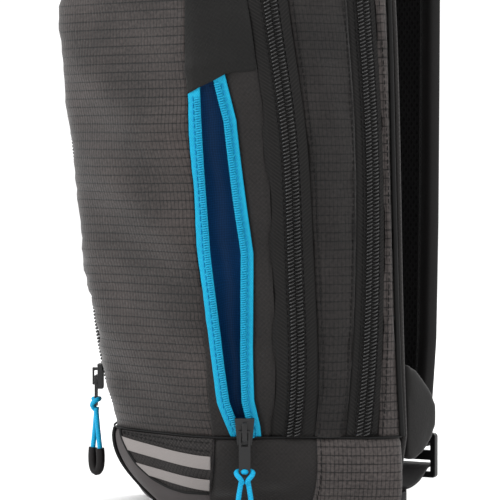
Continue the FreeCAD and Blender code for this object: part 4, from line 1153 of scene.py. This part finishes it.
PAD_CHANNELS = np.array([122, 170, 218, 266, 314]) * MM


def quilted(place):
    """Sinks a back pad along its sewn channels: depth times a bell of the height above each of them."""
    outer = np.clip((place[:, 1] - 0.0545) / 0.004, 0, 1)
    gap = np.abs(place[:, 2][:, None] - PAD_CHANNELS[None]).min(1)
    sunk = 3.2 * MM * np.exp(-(gap / (3.2 * MM)) ** 2) * outer
    return place - np.stack([sunk * 0, sunk, sunk * 0], axis=1)


for side in ("right", "left"):
    swollen("back_pad_" + side, SPACER_SOFT, "back_section", shape=quilted)
    swollen("side_wing_" + side, WING_CLOTH, "back_section", voxel=2.4 * MM, cap=1.5 * MM)

t = np.concatenate([np.linspace(0, 7, 60), np.linspace(7, TOP, 30)[1:]])
arch_points = back_edge(t)
low_z = np.linspace(0.002, 0.045, 10)
widths = np.concatenate([np.interp(low_z, [0.002, 0.046], [0.088, 0.096]), arch_points[:, 0]])
heights = np.concatenate([low_z, arch_points[:, 2]])
path = np.stack([heights * 0, heights * 0 + 0.0487, heights], axis=1)
side_vectors = np.stack([np.maximum(widths, 0.4 * MM), heights * 0, heights * 0], axis=1)
rearward = np.tile([0.0, 1, 0], (len(path), 1))
obj = swept("back_panel_cloth", path, side_vectors, rearward, 5.4 * MM, PLAIN_BLACK, "back_section",
            ["back_panel"], power=5, end=2.4 * MM, sides=64)
t = np.linspace(0, 16, 220)
rim = back_edge(t) + np.array([0, 0.9, 0]) * MM
dress(tube_mesh("back_edge_piping", rim[::2], 2.6 * MM), PIPING, "back_section")
print("back made")

# %% [markdown]
# ## Shoulder straps
# Each strap is foam between spacer mesh, with a smooth binding folded over both edges and stitched down.
# The section of the strap is a rounded oblong. The binding is the same section again, only round its two
# edges and a little larger.

# %% Straps with bindings
STRAP_ROUTE = [(42, 57, 384), (42, 60, 404), (42, 70, 419), (43.5, 85, 418), (46, 96, 396), (49.5, 100, 350),
               (51, 101, 290), (51, 101, 220), (51, 100.5, 150), (51, 100, 90), (51.5, 99.5, 50)]
STRAP_HALF = [17, 18, 20, 22, 23.5, 24, 24, 24, 24, 23, 18]
STRAP_TURN = [0, 0, 4, 8, 12, 15, 15, 15, 15, 15, 15]
STRAP_THICK = 9.0 * MM


def frames(route, half, turn, mirror):
    """A fine path through a route, its half-width vectors and its outward directions, in metres."""
    u = np.linspace(0, len(route) - 1, 22 * (len(route) - 1) + 1)
    flip = np.array([-1 if mirror else 1, 1, 1])
    path = smooth_line(np.array(route, float))(u) * flip * MM
    width = np.interp(u, np.arange(len(route)), half) * MM
    angle = np.radians(np.interp(u, np.arange(len(route)), turn))
    side = np.stack([np.cos(angle), -np.sin(angle), 0 * u], axis=1) * flip
    ahead = unit(np.gradient(path, axis=0))
    side = unit(side - ahead * np.sum(side * ahead, 1)[:, None])
    out = unit(np.cross(np.gradient(path, axis=0), side))
    return path, side * width[:, None], out * (-1 if mirror else 1)


for name, mirror in (("right", False), ("left", True)):
    path, side, out = frames(STRAP_ROUTE, STRAP_HALF, STRAP_TURN, mirror)
    strap = swept("strap_" + name, path, side, out, STRAP_THICK, SPACER_MESH, "back_section",
                  ["shoulder_strap_" + name], end=4 * MM, sides=48)
    for edge, middle in (("outer", 0.0), ("inner", np.pi)):
        swept(f"strap_binding_{edge}_{name}", path, side, out, STRAP_THICK, BINDING, "back_section",
              end=4 * MM, skin=0.7 * MM, sides=14, span=(middle - 1.02, middle + 1.02))
        share = 0.80 if edge == "outer" else -0.80
        for face in (1, -1):
            row = path + side * share + out * face * (STRAP_THICK / 2 + 0.55 * MM)
            row_name = f"strap_stitches_{edge}_{'front' if face > 0 else 'rear'}_{name}"
            stitches(row_name, row[6:-6], unit(side)[6:-6], out[6:-6] * face, BLACK_THREAD, "back_section")
print("straps made")

# %% [markdown]
# ## Webbing, top handle and tabs
# Webbing is a flat ribbed band about 1.6 mm thick. Each run is a thin section carried along its route:
# the strap adjusters from the ladder locks to the wings, the belt, the chest strap and the handle.

# %% Webbing runs
def ribbon_path(route):
    """A fine path through a route given in millimetres, twelve steps from each point to the next."""
    runs = len(route) - 1
    return smooth_line(np.array(route, float))(np.linspace(0, runs, 12 * runs + 1)) * MM


ADJUSTER_ROUTE = [(83, 51.6, 19.5), (81, 57, 19.7), (74, 70, 21.2), (64, 86, 23.6), (57, 97, 24),
                  (54.5, 106, 24)]
ADJUSTER_TURN = [0, 12, 26, 27, 20, 15]
BELT_RIGHT = [(86, 52.4, 8), (83.5, 60.2, 8), (78, 68.3, 8.2), (70, 76.0, 8.8), (60, 82.1, 10),
              (50, 86.4, 11.2), (44, 87.8, 11.5), (30, 87.8, 11.5), (6, 87.8, 11.5)]
BELT_LEFT = [(-86, 52.4, 8), (-83.5, 59, 8), (-78, 66, 8.2), (-70, 72.5, 8.8), (-60, 77.5, 10),
             (-50, 80.6, 11.2), (-44, 82, 11.5), (-30, 82, 11.5), (-26, 82, 11.5)]
WEBBING_THICK = 1.6 * MM
UP = np.array([0.0, 0, 1])
CHEST_HALF = 8 * MM

for name, sign in (("right", 1), ("left", -1)):
    path = ribbon_path([(sign * x, y, z) for x, y, z in ADJUSTER_ROUTE])
    angle = np.radians(np.interp(np.linspace(0, 5, len(path)), np.arange(6), ADJUSTER_TURN))
    side = np.stack([sign * np.cos(angle), np.sin(angle), 0 * angle], axis=1) * 10 * MM
    out = np.cross(np.gradient(path, axis=0), side)
    swept("adjuster_" + name, path, side, out * np.sign(out[:, 2:].sum()), WEBBING_THICK, WEBBING,
          "back_section", ["adjuster_webbing_" + name], power=8, end=0.8 * MM, sides=24)
for name, route in (("right", BELT_RIGHT), ("left", BELT_LEFT)):
    path = ribbon_path(route)
    swept("belt_" + name, path, np.tile(UP * 8 * MM, (len(path), 1)), np.cross(np.gradient(path, axis=0), UP),
          WEBBING_THICK, WEBBING, "back_section", ["belt_webbing_" + name], power=8,
          end=0.8 * MM, sides=24)
for name, route in (("right", [(6, 118.3, 300), (24, 118.3, 300), (41, 118.3, 300)]),
                    ("left", [(-22, 113, 300), (-32, 113, 300), (-41, 113, 300)])):
    path = ribbon_path(route)
    rearward = np.tile([0.0, 1, 0], (len(path), 1))
    swept("chest_" + name, path, np.tile(UP * CHEST_HALF, (len(path), 1)), rearward, WEBBING_THICK,
          WEBBING, "chest_strap", ["chest_webbing_" + name], power=8, end=0.8 * MM, sides=24)
handle = [(-19, 55.3, 404), (-20, 55.3, 430), (-17, 55.3, 441), (-10, 55.3, 449), (0, 55.3, 452),
          (10, 55.3, 449), (17, 55.3, 441), (20, 55.3, 430), (19, 55.3, 404)]
path = ribbon_path(handle)
arch_out = np.cross(np.gradient(path, axis=0), [0, 1, 0])
swept("handle_webbing", path, np.tile([0, 3.6 * MM, 0], (len(path), 1)), arch_out, 3.0 * MM, WEBBING,
      "back_section", ["top_handle"], power=5, end=1.0 * MM, sides=24)
softened("strap_tabs", BINDING, "back_section", 0.4 * MM)
print("webbing made")

# %% [markdown]
# ## Inside the pack
# Behind the main zip a sleeve holds the drinking bag: two welded films with a wide mouth, a screw cap and
# an outlet at the bottom. In front of it a thin divider makes a second compartment.

# %% Drinking bag, sleeve and divider
softened("reservoir", FILM, "back_section", 1.2 * MM)
softened("reservoir_sleeve", INNER_CLOTH, "back_section", 0.5 * MM)
edge_line = front_zip(np.linspace(0.05, 7.5, 90))
s = np.linspace(-1, 1, 31)
half = edge_line[:, 0] - 3 * MM
divider = np.stack([half[:, None] * s, np.repeat(edge_line[:, 1:2] + 3.9 * MM, 31, 1),
                    np.repeat(edge_line[:, 2:], 31, 1)], axis=-1)
divider[..., 1] += 0.5 * MM * folds(divider[..., 0], divider[..., 2], 51) * (1 - s ** 4)
panel("divider_cloth", divider, INNER_SHEET, "main_flap", ["divider"], thickness=0.8 * MM)
print("inside made")

# %% [markdown]
# ## Floor
# The floor is one large pale sheet under the pack. It is part of the room and not of the object.

# %% Floor
floor_x, floor_y = np.meshgrid(np.linspace(-6, 6, 13), np.linspace(-6, 6, 13))
floor_points = np.stack([floor_x, floor_y, floor_x * 0 - 0.2 * MM], axis=-1)
floor_sheet = mesh_object("floor_sheet", floor_points, grid_faces(13, 13), away_from=np.array([0, 0, -1.0]))
floor_sheet.data.materials.append(FINISHES[FLOOR_PAINT][0])
